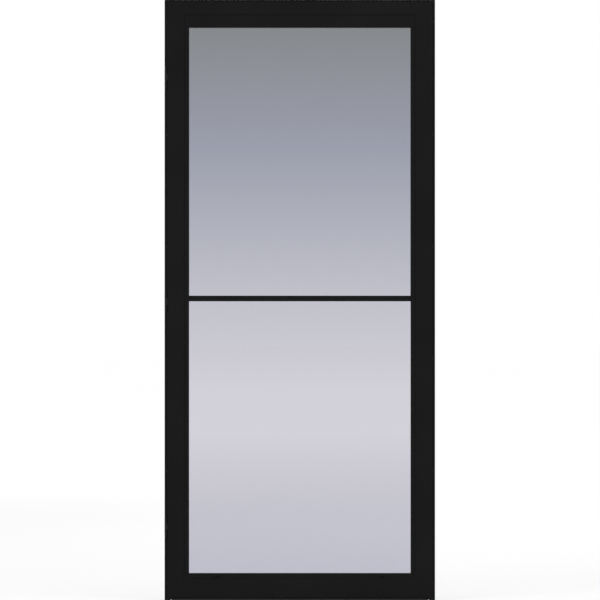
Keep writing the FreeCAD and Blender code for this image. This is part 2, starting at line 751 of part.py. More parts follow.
def cassette_cover():
    """Removable indoor cover of the cassette, with a turned-in lower edge."""
    wall = CASSETTE_WALL
    body = [
        (INSERT_BACK - wall, CASSETTE_TOP, 0.0),
        (INSERT_BACK - wall, COVER_FOOT + wall, 0.0),
        (INSERT_BACK - 2 * wall, COVER_FOOT + wall, 0.0),
        (INSERT_BACK - 2 * wall, COVER_FOOT, 0.0),
        (INSERT_BACK, COVER_FOOT, INSERT_RADIUS),
        (INSERT_BACK, CASSETTE_TOP, 0.0),
    ]
    return level(body, INSERT_LEFT, INSERT_RIGHT)


def roll_bar(radius, left):
    """A round bar on the roller's axis, from left to the same distance from the other side."""
    return rod(radius, Vector(left, ROLL_DEPTH, ROLL_HEIGHT), Vector(2 * (CENTRE - left), 0, 0))


def end_plate():
    """Plate that closes the cassette's hinge-side end and carries the roller's axle."""
    wall = CASSETTE_WALL
    plate = rectangle(INSERT_FRONT + wall, COVER_FOOT + wall, INSERT_BACK - wall, CASSETTE_TOP - wall)
    socket = roll_bar(AXLE_RADIUS + AXLE_FIT, INSERT_LEFT)
    return level(plate, INSERT_LEFT, INSERT_LEFT + END_PLATE).cut(socket)


def screen_roll():
    """Insect screen wound on its roller tube, with an axle stub at each end and its free edge hanging."""
    axle = roll_bar(AXLE_RADIUS, INSERT_LEFT)
    tube = roll_bar(ROLLER_RADIUS, INSERT_LEFT + END_PLATE + ROLLER_GAP)
    wound = roll_bar(ROLL_RADIUS, SIGHT_LEFT)
    tail = block(
        (SIGHT_LEFT, INNER_GLASS - SCREEN_TAIL / 2, SASH_HEAD_TOP + PULL_BAR_HEIGHT),
        (SIGHT_RIGHT, INNER_GLASS + SCREEN_TAIL / 2, ROLL_HEIGHT),
    )
    return fused(wound, tube, axle, tail)


def screen_pull_bar():
    """Bar on the screen's free edge, which the sliding sash draws down."""
    front, back = INNER_GLASS - SASH_HEAD_HALF, INNER_GLASS + SASH_HEAD_HALF
    bar = rectangle(front, SASH_HEAD_TOP, back, SASH_HEAD_TOP + PULL_BAR_HEIGHT)
    return level(bar, SIGHT_LEFT + SASH_FIT, SIGHT_RIGHT - SASH_FIT)


# Glass and sash rails


def pane(depth, low, high):
    """A sheet of glass at one depth, from one height to another."""
    sheet = rectangle(GLASS_LEFT, low, GLASS_RIGHT, high)
    return facing(sheet, depth - GLASS_THICKNESS / 2, depth + GLASS_THICKNESS / 2)


def upper_glass():
    """Sliding pane, from the meeting rail up behind the cassette's lip."""
    return pane(INNER_GLASS, MEETING_TOP - SASH_BITE, SASH_HEAD_FOOT + SASH_BITE)


def lower_glass():
    """Fixed pane, from its gasket in the sill up into the lower meeting rail."""
    return pane(OUTER_GLASS, GROOVE_FLOOR + GASKET_WALL, MEETING_FOOT + SASH_BITE)


def lower_meeting_rail():
    """Rail on the fixed pane's top edge, with a hook turned down behind it."""
    hook_back = UPPER_RAIL_FRONT - HOOK_CLEARANCE
    hook_front = hook_back - HOOK_WALL
    hook_foot = MEETING_LINE - HOOK_LAP / 2
    groove = GLASS_THICKNESS / 2 + SASH_FIT
    floor = MEETING_FOOT + SASH_BITE + SASH_FIT
    body = [
        (LOWER_RAIL_FRONT, MEETING_FOOT, MEETING_RADIUS),
        (OUTER_GLASS - groove, MEETING_FOOT, 0.0),
        (OUTER_GLASS - groove, floor, 0.0),
        (OUTER_GLASS + groove, floor, 0.0),
        (OUTER_GLASS + groove, MEETING_FOOT, 0.0),
        (LOWER_RAIL_BACK, MEETING_FOOT, 0.0),
        (LOWER_RAIL_BACK, MEETING_TOP - HOOK_WALL, 0.0),
        (hook_front, MEETING_TOP - HOOK_WALL, 0.0),
        (hook_front, hook_foot, 0.0),
        (hook_back, hook_foot, 0.0),
        (hook_back, MEETING_TOP, 0.0),
        (LOWER_RAIL_FRONT, MEETING_TOP, MEETING_RADIUS),
    ]
    wall = TRACK_WALL
    cell = rectangle(LOWER_RAIL_FRONT + wall, floor + wall, LOWER_RAIL_BACK - wall, MEETING_TOP - wall)
    return level(body, SIGHT_LEFT, SIGHT_RIGHT, [cell])


def upper_meeting_rail():
    """Rail on the sliding pane's bottom edge: a hook turned up in front and a finger lip indoors."""
    hook_front = LOWER_RAIL_BACK + HOOK_CLEARANCE
    hook_back = hook_front + HOOK_WALL
    hook_top = MEETING_LINE + HOOK_LAP / 2
    groove = GLASS_THICKNESS / 2 + SASH_FIT
    floor = MEETING_TOP - SASH_BITE - SASH_FIT
    lip = UPPER_RAIL_BACK + PULL_LIP_REACH
    body = [
        (hook_front, MEETING_FOOT, 0.0),
        (lip, MEETING_FOOT, 0.0),
        (lip, MEETING_FOOT + PULL_LIP_WALL, MEETING_RADIUS),
        (UPPER_RAIL_BACK, MEETING_FOOT + PULL_LIP_WALL, 0.0),
        (UPPER_RAIL_BACK, MEETING_TOP, MEETING_RADIUS),
        (INNER_GLASS + groove, MEETING_TOP, 0.0),
        (INNER_GLASS + groove, floor, 0.0),
        (INNER_GLASS - groove, floor, 0.0),
        (INNER_GLASS - groove, MEETING_TOP, 0.0),
        (UPPER_RAIL_FRONT, MEETING_TOP, 0.0),
        (UPPER_RAIL_FRONT, MEETING_FOOT + HOOK_WALL, 0.0),
        (hook_back, MEETING_FOOT + HOOK_WALL, 0.0),
        (hook_back, hook_top, 0.0),
        (hook_front, hook_top, 0.0),
    ]
    wall = TRACK_WALL
    cell = rectangle(
        UPPER_RAIL_FRONT + wall, MEETING_FOOT + PULL_LIP_WALL, UPPER_RAIL_BACK - wall, floor - wall
    )
    return level(body, SIGHT_LEFT + SASH_FIT, SIGHT_RIGHT - SASH_FIT, [cell])


def meeting_rail_seal():
    """Strip of pile between the hooks of the two meeting rails."""
    front = LOWER_RAIL_BACK + HOOK_CLEARANCE + HOOK_WALL + SEAL_FIT
    back = UPPER_RAIL_FRONT - HOOK_CLEARANCE - HOOK_WALL
    strip = rectangle(front, MEETING_LINE - HOOK_LAP / 2, back, MEETING_LINE + HOOK_LAP / 2)
    return level(strip, SIGHT_LEFT + SASH_FIT, SIGHT_RIGHT - SASH_FIT)


def upper_sash_top_rail():
    """Channel on the sliding pane's top edge, tucked behind the cassette's lip."""
    groove = GLASS_THICKNESS / 2 + SASH_FIT
    floor = SASH_HEAD_FOOT + SASH_BITE + SASH_FIT
    body = sharp(
        (INNER_GLASS - SASH_HEAD_HALF, SASH_HEAD_FOOT),
        (INNER_GLASS - groove, SASH_HEAD_FOOT),
        (INNER_GLASS - groove, floor),
        (INNER_GLASS + groove, floor),
        (INNER_GLASS + groove, SASH_HEAD_FOOT),
        (INNER_GLASS + SASH_HEAD_HALF, SASH_HEAD_FOOT),
        (INNER_GLASS + SASH_HEAD_HALF, SASH_HEAD_TOP),
        (INNER_GLASS - SASH_HEAD_HALF, SASH_HEAD_TOP),
    )
    return level(body, SIGHT_LEFT + SASH_FIT, SIGHT_RIGHT - SASH_FIT)


def gasket_section(floor, bead, depth):
    """Vinyl channel round a glass edge: (distance along the glass, depth), from the floor to its bead."""
    front, back = channel_faces(depth)
    edge = floor + GASKET_WALL
    return [
        (floor, front),
        (bead, front),
        (bead, front + GASKET_WALL),
        (edge, front + GASKET_WALL),
        (edge, back - GASKET_WALL),
        (bead, back - GASKET_WALL),
        (bead, back),
        (floor, back),
    ]


def side_gasket(depth, low, high):
    """Gasket on one upright glass edge, seated in the hinge-side track."""
    return upright(sharp(*gasket_section(CHANNEL_FLOOR, SIGHT_LEFT + GASKET_BEAD, depth)), low, high)


def sill_gasket():
    """Gasket on the fixed pane's bottom edge, seated in the sill's groove."""
    corners = gasket_section(GROOVE_FLOOR, SIGHT_FOOT + GASKET_BEAD, OUTER_GLASS)
    return level(sharp(*[(depth, height) for height, depth in corners]), GLASS_LEFT, GLASS_RIGHT)


def sash_latch():
    """Finger latch on the sliding sash at the hinge side, scooped for a thumb, with its bolt thrown."""
    left = SIGHT_LEFT + LATCH_INSET
    right = left + LATCH_LENGTH
    low, high = LATCH_LINE - LATCH_HEIGHT / 2, LATCH_LINE + LATCH_HEIGHT / 2
    face = UPPER_RAIL_BACK + LATCH_DEPTH
    shape = facing(rectangle(left, low, right, high, LATCH_RADIUS), UPPER_RAIL_BACK, face)
    scoop_axis = Vector((left + right) / 2, face + SCOOP_RADIUS - SCOOP_DEPTH, low)
    shape = shape.cut(rod(SCOOP_RADIUS, scoop_axis, Vector(0, 0, LATCH_HEIGHT)))
    tip = SIGHT_LEFT - BOLT_THROW
    bolt = [
        (tip, LATCH_LINE - BOLT_HEIGHT / 2, BOLT_RADIUS),
        (left + LATCH_RADIUS, LATCH_LINE - BOLT_HEIGHT / 2, 0.0),
        (left + LATCH_RADIUS, LATCH_LINE + BOLT_HEIGHT / 2, 0.0),
        (tip, LATCH_LINE + BOLT_HEIGHT / 2, BOLT_RADIUS),
    ]
    return fused(shape, facing(bolt, BOLT_FRONT, BOLT_FRONT + BOLT_DEPTH))


def export_frame():
    """Z-bars, their weatherstrips and the fixed halves of the hinges."""
    export("hinge_z_bar", hinge_z_bar())
    export("latch_z_bar", across(hinge_z_bar()))
    export("head_z_bar", head_z_bar())
    export("hinge_side_pile", hinge_side_pile())
    export("latch_side_pile", across(hinge_side_pile()))
    export("head_pile", head_pile())
    export("hinge_frame_plates", *[frame_plate(height) for height in hinge_heights()])
    export("hinge_pins", *[hinge_pin(height) for height in hinge_heights()])


def export_leaf_frame():
    """Stiles, rails, foot, retainers and the moving halves of the hinges."""
    export("hinge_leaf_plates", *[leaf_plate(height) for height in hinge_heights()])
    export("hinge_stile", hinge_stile())
    export("latch_stile", across(hinge_stile()))
    export("top_rail", top_rail())
    export("bottom_rail", bottom_rail())
    export("bottom_expander", bottom_expander())
    export("bottom_sweep", bottom_sweep())
    export("hinge_side_retainer", hinge_side_retainer())
    export("latch_side_retainer", across(hinge_side_retainer()))
    export("head_retainer", level_retainer(HEAD_REBATE, HEAD_REBATE - RETAINER_WIDTH))
    export("foot_retainer", level_retainer(FOOT_REBATE, FOOT_REBATE + RETAINER_WIDTH))


def export_insert():
    """Tracks, sill, screen cassette, glass, sash rails, gaskets and latches."""
    export("hinge_side_track", hinge_side_track())
    export("latch_side_track", across(hinge_side_track()))
    export("glazing_sill", glazing_sill())
    export("screen_cassette", screen_cassette())
    export("cassette_cover", cassette_cover())
    export("cassette_end_plates", end_plate(), across(end_plate()))
    export("screen_roll", screen_roll())
    export("screen_pull_bar", screen_pull_bar())
    export("upper_glass", upper_glass())
    export("lower_glass", lower_glass())
    export("upper_sash_top_rail", upper_sash_top_rail())
    export("upper_meeting_rail", upper_meeting_rail())
    export("lower_meeting_rail", lower_meeting_rail())
    export("meeting_rail_seal", meeting_rail_seal())
    sliding_edge = side_gasket(INNER_GLASS, MEETING_TOP, SIGHT_TOP)
    fixed_edge = side_gasket(OUTER_GLASS, SIGHT_FOOT + GASKET_BEAD, MEETING_FOOT)
    export("upper_glass_gaskets", sliding_edge, across(sliding_edge))
    export("lower_glass_gaskets", fixed_edge, across(fixed_edge), sill_gasket())
    export("sash_latches", sash_latch(), across(sash_latch()))


os.makedirs("parts", exist_ok=True)
export_frame()
export_leaf_frame()
export_insert()
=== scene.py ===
"""Looks of a full-view aluminium storm door: finishes, fasteners, pile weatherstrip and a plain studio.

Metres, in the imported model's own frame: +X from the hinge side to the latch side, +Y from outdoors to
indoors, +Z up.
"""

import json
import logging
import math
from collections.abc import Mapping, Sequence
from dataclasses import dataclass, replace
from enum import Enum

import bmesh
import bpy
from mathutils import Matrix, Vector


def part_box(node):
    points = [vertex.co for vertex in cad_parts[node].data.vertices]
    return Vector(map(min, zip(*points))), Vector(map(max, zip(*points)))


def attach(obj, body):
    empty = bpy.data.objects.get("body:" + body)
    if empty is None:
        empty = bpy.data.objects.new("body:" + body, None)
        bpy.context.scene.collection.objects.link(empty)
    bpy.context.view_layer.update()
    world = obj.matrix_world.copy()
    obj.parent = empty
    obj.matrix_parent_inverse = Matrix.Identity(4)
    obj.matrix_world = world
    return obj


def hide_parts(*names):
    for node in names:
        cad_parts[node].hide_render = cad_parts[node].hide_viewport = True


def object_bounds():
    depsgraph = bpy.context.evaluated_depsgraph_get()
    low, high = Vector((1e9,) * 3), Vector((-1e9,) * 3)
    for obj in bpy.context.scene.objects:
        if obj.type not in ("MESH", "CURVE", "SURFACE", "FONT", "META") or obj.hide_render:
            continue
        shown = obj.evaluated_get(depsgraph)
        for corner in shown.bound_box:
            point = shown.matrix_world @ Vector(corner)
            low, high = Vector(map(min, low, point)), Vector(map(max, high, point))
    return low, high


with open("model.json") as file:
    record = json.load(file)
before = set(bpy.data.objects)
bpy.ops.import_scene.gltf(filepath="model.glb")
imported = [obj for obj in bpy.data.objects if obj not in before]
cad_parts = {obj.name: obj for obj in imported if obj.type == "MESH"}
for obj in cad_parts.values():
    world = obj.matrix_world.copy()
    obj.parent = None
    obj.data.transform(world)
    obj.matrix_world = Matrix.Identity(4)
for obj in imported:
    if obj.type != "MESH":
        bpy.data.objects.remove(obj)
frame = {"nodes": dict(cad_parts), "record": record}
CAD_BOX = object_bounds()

Colour = tuple[float, float, float]
Point = tuple[float, float, float]
Range = tuple[float, float]
Stop = tuple[float, Colour]
Seat = tuple[Vector, Vector]
Socket = bpy.types.NodeSocket
Feed = Socket | float | int | tuple | Vector

log = logging.getLogger("storm_door")
MILLIMETRE = 0.001
FULL = (0.0, 1.0)
WHITE = (1.0, 1.0, 1.0, 1.0)
FACING = "facing"
ACROSS = "across"
OUTDOORS = Vector((0.0, -1.0, 0.0))
INDOORS = Vector((0.0, 1.0, 0.0))
HINGE_SIDE = Vector((-1.0, 0.0, 0.0))
LATCH_SIDE = Vector((1.0, 0.0, 0.0))


class Body(str, Enum):
    """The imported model's two bodies."""

    FRAME = "frame"
    LEAF = "leaf"


class Slot(str, Enum):
    """The record's material slots."""

    POWDER_COAT = "powder_coat"
    HINGE_STEEL = "hinge_steel"
    CLEAR_GLASS = "clear_glass"
    VINYL = "vinyl"
    PILE = "pile"
    SCREEN_MESH = "screen_mesh"
    BLACK_PLASTIC = "black_plastic"


class HeadShape(Enum):
    """Screw head profiles: (share of the head's height, share of its radius)."""

    PAN = ((0.0, 1.0), (0.45, 0.99), (0.72, 0.93), (0.92, 0.78), (1.0, 0.58))
    OVAL = ((0.0, 1.0), (0.3, 0.9), (0.62, 0.7), (0.88, 0.44), (1.0, 0.3))


class NodeDesk:
    """A node tree under construction: adds nodes, and sets or joins their inputs."""

    def __init__(self, tree: bpy.types.NodeTree) -> None:
        """Works on an empty tree.

        Args:
            tree: The tree to fill.
        """
        self.tree = tree

    def add(
        self, kind: str, feeds: Mapping[str | int, Feed] | None = None, **settings: str
    ) -> bpy.types.Node:
        """Adds one node.

        Args:
            kind: The node's type name.
            feeds: For each input, by name or place, a value or the socket that feeds it.
            **settings: The node's own properties.

        Returns:
            The new node.
        """
        node = self.tree.nodes.new(kind)
        for name, value in settings.items():
            setattr(node, name, value)
        for key, value in (feeds or {}).items():
            self.feed(node.inputs[key], value)
        return node

    def feed(self, target: Socket, value: Feed) -> None:
        """Joins a socket to target, or sets target to a plain value.

        Args:
            target: The input.
            value: What feeds it.
        """
        if isinstance(value, Socket):
            self.tree.links.new(value, target)
        else:
            target.default_value = value

    def math(self, operation: str, first: Feed, second: Feed = 0.0) -> Socket:
        """Works out one number from one or two."""
        return self.add("ShaderNodeMath", {0: first, 1: second}, operation=operation).outputs[0]

    def span(self, source: Socket, to: Range, over: Range = FULL, easing: str = "LINEAR") -> Socket:
        """Maps a number from one range onto another.

        Args:
            source: The number.
            to: The results at both ends of its range.
            over: Both ends of its range.
            easing: How the result goes from end to end.

        Returns:
            The mapped number.
        """
        feeds = {"Value": source, "From Min": over[0], "From Max": over[1]}
        feeds |= {"To Min": to[0], "To Max": to[1]}
        return self.add("ShaderNodeMapRange", feeds, interpolation_type=easing).outputs["Result"]


class FinishDesk(NodeDesk):
    """The node tree of one finish, ending in a Principled shader that reads Object coordinates."""

    def __init__(self, name: str) -> None:
        """Makes the material.

        Args:
            name: The finish's name.
        """
        self.material = bpy.data.materials.new(name)
        self.material.use_nodes = True
        super().__init__(self.material.node_tree)
        self.tree.nodes.clear()
        self.place = self.add("ShaderNodeTexCoord").outputs["Object"]
        self.shader = self.add("ShaderNodeBsdfPrincipled")
        self.output = self.add("ShaderNodeOutputMaterial", {"Surface": self.shader.outputs[0]})

    def shade(self, feeds: Mapping[str, Feed]) -> bpy.types.Material:
        """Sets or joins the shader's inputs.

        Args:
            feeds: A value or socket for each input by name.

        Returns:
            The finished material.
        """
        for key, value in feeds.items():
            self.feed(self.shader.inputs[key], value)
        return self.material

    def noise(self, size: float, detail: float, stretch: Point = (1.0, 1.0, 1.0)) -> Socket:
        """Adds noise with features of about the given size.

        Args:
            size: Feature size.
            detail: How many finer octaves it has.
            stretch: Scale along each axis.

        Returns:
            The noise from 0 to 1.
        """
        laid = self.add("ShaderNodeMapping", {"Vector": self.place, "Scale": stretch})
        feeds = {"Vector": laid.outputs[0], "Scale": 1.0 / size, "Detail": detail}
        return self.add("ShaderNodeTexNoise", feeds).outputs["Fac"]

    def blend(self, first: Socket, second: Socket, share: float) -> Socket:
        """The sum of two numbers, of which the second has the given share."""
        rest = self.math("MULTIPLY", first, 1 - share)
        return self.math("ADD", rest, self.math("MULTIPLY", second, share))

    def ramp(self, source: Socket, stops: Sequence[Stop]) -> Socket:
        """Adds a colour ramp.

        Args:
            source: The number that picks the colour.
            stops: (place from 0 to 1, colour), in order.

        Returns:
            The colour.
        """
        node = self.add("ShaderNodeValToRGB", {"Fac": source})
        elements = node.color_ramp.elements
        while len(elements) < len(stops):
            elements.new(1.0)
        for element, (place, colour) in zip(elements, stops):
            element.position = place
            element.color = (*colour, 1.0)
        return node.outputs["Color"]

    def tint(self, source: Socket, over: Range, dark: Colour, light: Colour) -> Socket:
        """A colour that goes from dark to light over a number's range."""
        return self.ramp(source, list(zip(over, (dark, light))))

    def bump(self, height: Socket, depth: float) -> Socket:
        """The normal of a relief that is depth high where height is 1."""
        return self.add("ShaderNodeBump", {"Height": height, "Distance": depth}).outputs["Normal"]


def toned(colour: Colour, share: float) -> Colour:
    """The same colour, lighter or darker by a share."""
    return tuple(channel * share for channel in colour)


@dataclass(frozen=True)
class SatinCoat:
    """Satin black coat on metal: a fine grain, orange peel, a slow drift of tone and uneven gloss."""

    name: str
    colour: Colour
    tone_spread: float = 0.5
    tone_range: Range = (0.36, 0.64)
    roughness: Range = (0.36, 0.5)
    shine: float = 0.08
    grain_size: float = 0.0007
    grain_share: float = 0.7
    peel_size: float = 0.0022
    relief: float = 0.00008
    drift_size: float = 0.28

    def material(self) -> bpy.types.Material:
        """Makes the finish.

        Returns:
            Its material.
        """
        desk = FinishDesk(self.name)
        drift = desk.noise(self.drift_size, detail=2.0)
        grain = desk.noise(self.grain_size, detail=1.0)
        mottle = desk.blend(drift, grain, self.grain_share)
        dark, light = (toned(self.colour, 1 + side * self.tone_spread) for side in (-1, 1))
        feeds = {
            "Base Color": desk.tint(mottle, self.tone_range, dark, light),
            "Roughness": desk.span(mottle, self.roughness, self.tone_range),
            "Specular IOR Level": self.shine,
        }
        if self.relief:
            peel = desk.noise(self.peel_size, detail=1.0)
            feeds["Normal"] = desk.bump(desk.blend(peel, grain, self.grain_share), self.relief)
        return desk.shade(feeds)


@dataclass(frozen=True)
class PaintedSkyReflectionGlass:
    """Toughened glass with a painted sky reflection: a grey tone by height, set in its tint, that pales
    down the door and deepens a little at the foot.
    """

    name: str = "painted_sky_reflection_glass"
    # Stops of the painted sky reflection, by height: darkest at the head, lightest from bright to pale,
    # a little darker at the foot.
    head: Stop = (1.935, (0.209, 0.219, 0.234))
    upper: Stop = (1.53, (0.302, 0.317, 0.390))
    waist: Stop = (1.04, (0.504, 0.508, 0.570))
    bright: Stop = (0.70, (0.636, 0.621, 0.680))
    pale: Stop = (0.57, (0.636, 0.621, 0.680))
    low: Stop = (0.40, (0.562, 0.555, 0.622))
    foot: Stop = (0.115, (0.510, 0.513, 0.589))
    wave_size: float = 0.25
    wave_depth: float = 0.00002
    refraction: float = 1.5

    def material(self) -> bpy.types.Material:
        """Makes the finish.

        Returns:
            Its material.
        """
        desk = FinishDesk(self.name)
        height = desk.add("ShaderNodeSeparateXYZ", {0: desk.place}).outputs["Z"]
        bottom, top = self.foot[0], self.head[0]
        stops = [self.foot, self.low, self.pale, self.bright, self.waist, self.upper, self.head]
        # Painted reflection: the tone by height goes into the base colour, and into the tint that lamp
        # rays take through the pane.
        tone = desk.ramp(
            desk.span(height, FULL, (bottom, top)),
            [((level - bottom) / (top - bottom), colour) for level, colour in stops],
        )
        wave = desk.noise(self.wave_size, detail=0.0)
        clear = desk.add("ShaderNodeBsdfTransparent", {"Color": tone})
        lamp_ray = desk.add("ShaderNodeLightPath").outputs["Is Shadow Ray"]
        feeds = {0: lamp_ray, 1: desk.shader.outputs[0], 2: clear.outputs[0]}
        mixed = desk.add("ShaderNodeMixShader", feeds)
        desk.feed(desk.output.inputs["Surface"], mixed.outputs[0])
        return desk.shade(
            {
                "Base Color": tone,
                "Roughness": 0.0,
                "IOR": self.refraction,
                "Transmission Weight": 1.0,
                "Normal": desk.bump(wave, self.wave_depth),
            }
        )


@dataclass(frozen=True)
class DrawnVinyl:
    """Flexible black vinyl, with fine lines from its die and a dull bloom."""

    name: str = "drawn_vinyl"
    colour: Colour = (0.0065, 0.0065, 0.0068)
    bloom: Colour = (0.0145, 0.0145, 0.015)
    tone_range: Range = (0.36, 0.66)
    bloom_size: float = 0.06
    line_size: float = 0.0006
    line_stretch: Point = (0.03, 1.0, 0.3)
    line_share: float = 0.6
    line_depth: float = 0.00005
    roughness: Range = (0.55, 0.72)
    shine: float = 0.12

    def material(self) -> bpy.types.Material:
        """Makes the finish.

        Returns:
            Its material.
        """
        desk = FinishDesk(self.name)
        bloom = desk.noise(self.bloom_size, detail=3.0)
        lines = desk.noise(self.line_size, detail=1.0, stretch=self.line_stretch)
        streaks = desk.blend(bloom, lines, self.line_share)
        return desk.shade(
            {
                "Base Color": desk.tint(streaks, self.tone_range, self.colour, self.bloom),
                "Roughness": desk.span(bloom, self.roughness),
                "Specular IOR Level": self.shine,
                "Normal": desk.bump(lines, self.line_depth),
            }
        )


@dataclass(frozen=True)
class WovenPile:
    """Black pile: fibres a little lighter and darker from tuft to tuft, with a soft sheen."""

    name: str = "woven_pile"
    dark: Colour = (0.007, 0.007, 0.0075)
    light: Colour = (0.019, 0.019, 0.02)
    tone_range: Range = (0.3, 0.7)
    tuft_size: float = 0.0015
    fibre_size: float = 0.0003
    fibre_stretch: Point = (1.0, 0.15, 1.0)
    fibre_depth: float = 0.0002
    roughness: Range = (0.8, 1.0)
    shine: float = 0.1
    sheen: float = 0.25

    def material(self) -> bpy.types.Material:
        """Makes the finish.

        Returns:
            Its material.
        """
        desk = FinishDesk(self.name)
        tufts = desk.noise(self.tuft_size, detail=2.0)
        fibres = desk.noise(self.fibre_size, detail=1.0, stretch=self.fibre_stretch)
        return desk.shade(
            {
                "Base Color": desk.tint(tufts, self.tone_range, self.dark, self.light),
                "Roughness": desk.span(fibres, self.roughness),
                "Specular IOR Level": self.shine,
                "Sheen Weight": self.sheen,
                "Normal": desk.bump(fibres, self.fibre_depth),
            }
        )


@dataclass(frozen=True)
class ScreenWeave:
    """Charcoal insect screen: threads crossing along the roll and round it."""

    name: str = "screen_weave"
    gap: Colour = (0.006, 0.006, 0.0065)
    thread: Colour = (0.035, 0.035, 0.037)
    tone_range: Range = (0.45, 0.85)
    roughness: Range = (0.85, 0.6)
    pitch: float = 0.0014
    depth: float = 0.0002

    def material(self) -> bpy.types.Material:
        """Makes the finish.

        Returns:
            Its material.
        """
        desk = FinishDesk(self.name)
        axes = desk.add("ShaderNodeSeparateXYZ", {0: desk.place}).outputs
        turn = math.tau / self.pitch
        threads = [desk.math("SINE", desk.math("MULTIPLY", axes[axis], turn)) for axis in ("X", "Z")]
        weave = desk.span(desk.math("MAXIMUM", *threads), FULL, (-1.0, 1.0))
        return desk.shade(
            {
                "Base Color": desk.tint(weave, self.tone_range, self.gap, self.thread),
                "Roughness": desk.span(weave, self.roughness),
                "Normal": desk.bump(weave, self.depth),
            }
        )


@dataclass(frozen=True)
class MouldedPlastic:
    """Black moulded plastic with a fine sparked texture."""

    name: str = "moulded_plastic"
    dark: Colour = (0.0058, 0.0058, 0.006)
    light: Colour = (0.0132, 0.0132, 0.0138)
    tone_range: Range = (0.36, 0.64)
    grain_size: float = 0.0006
    grain_depth: float = 0.00008
    roughness: Range = (0.42, 0.58)
    shine: float = 0.16

    def material(self) -> bpy.types.Material:
        """Makes the finish.

        Returns:
            Its material.
        """
        desk = FinishDesk(self.name)
        grain = desk.noise(self.grain_size, detail=2.0)
        return desk.shade(
            {
                "Base Color": desk.tint(grain, self.tone_range, self.dark, self.light),
                "Roughness": desk.span(grain, self.roughness),
                "Specular IOR Level": self.shine,
                "Normal": desk.bump(grain, self.grain_depth),
            }
        )


HINGE_PAINT = SatinCoat(
    "satin_hinge_paint", (0.0058, 0.0058, 0.0058), roughness=(0.3, 0.5), shine=0.16, drift_size=0.05
)
SCREW_PAINT = replace(HINGE_PAINT, name="satin_screw_paint", relief=0.0).material()
FINISHES: dict[Slot, bpy.types.Material] = {
    Slot.POWDER_COAT: SatinCoat("satin_powder_coat", (0.0052, 0.0052, 0.0052)).material(),
    Slot.HINGE_STEEL: HINGE_PAINT.material(),
    Slot.CLEAR_GLASS: PaintedSkyReflectionGlass().material(),
    Slot.VINYL: DrawnVinyl().material(),
    Slot.PILE: WovenPile().material(),
    Slot.SCREEN_MESH: ScreenWeave().material(),
    Slot.BLACK_PLASTIC: MouldedPlastic().material(),
}


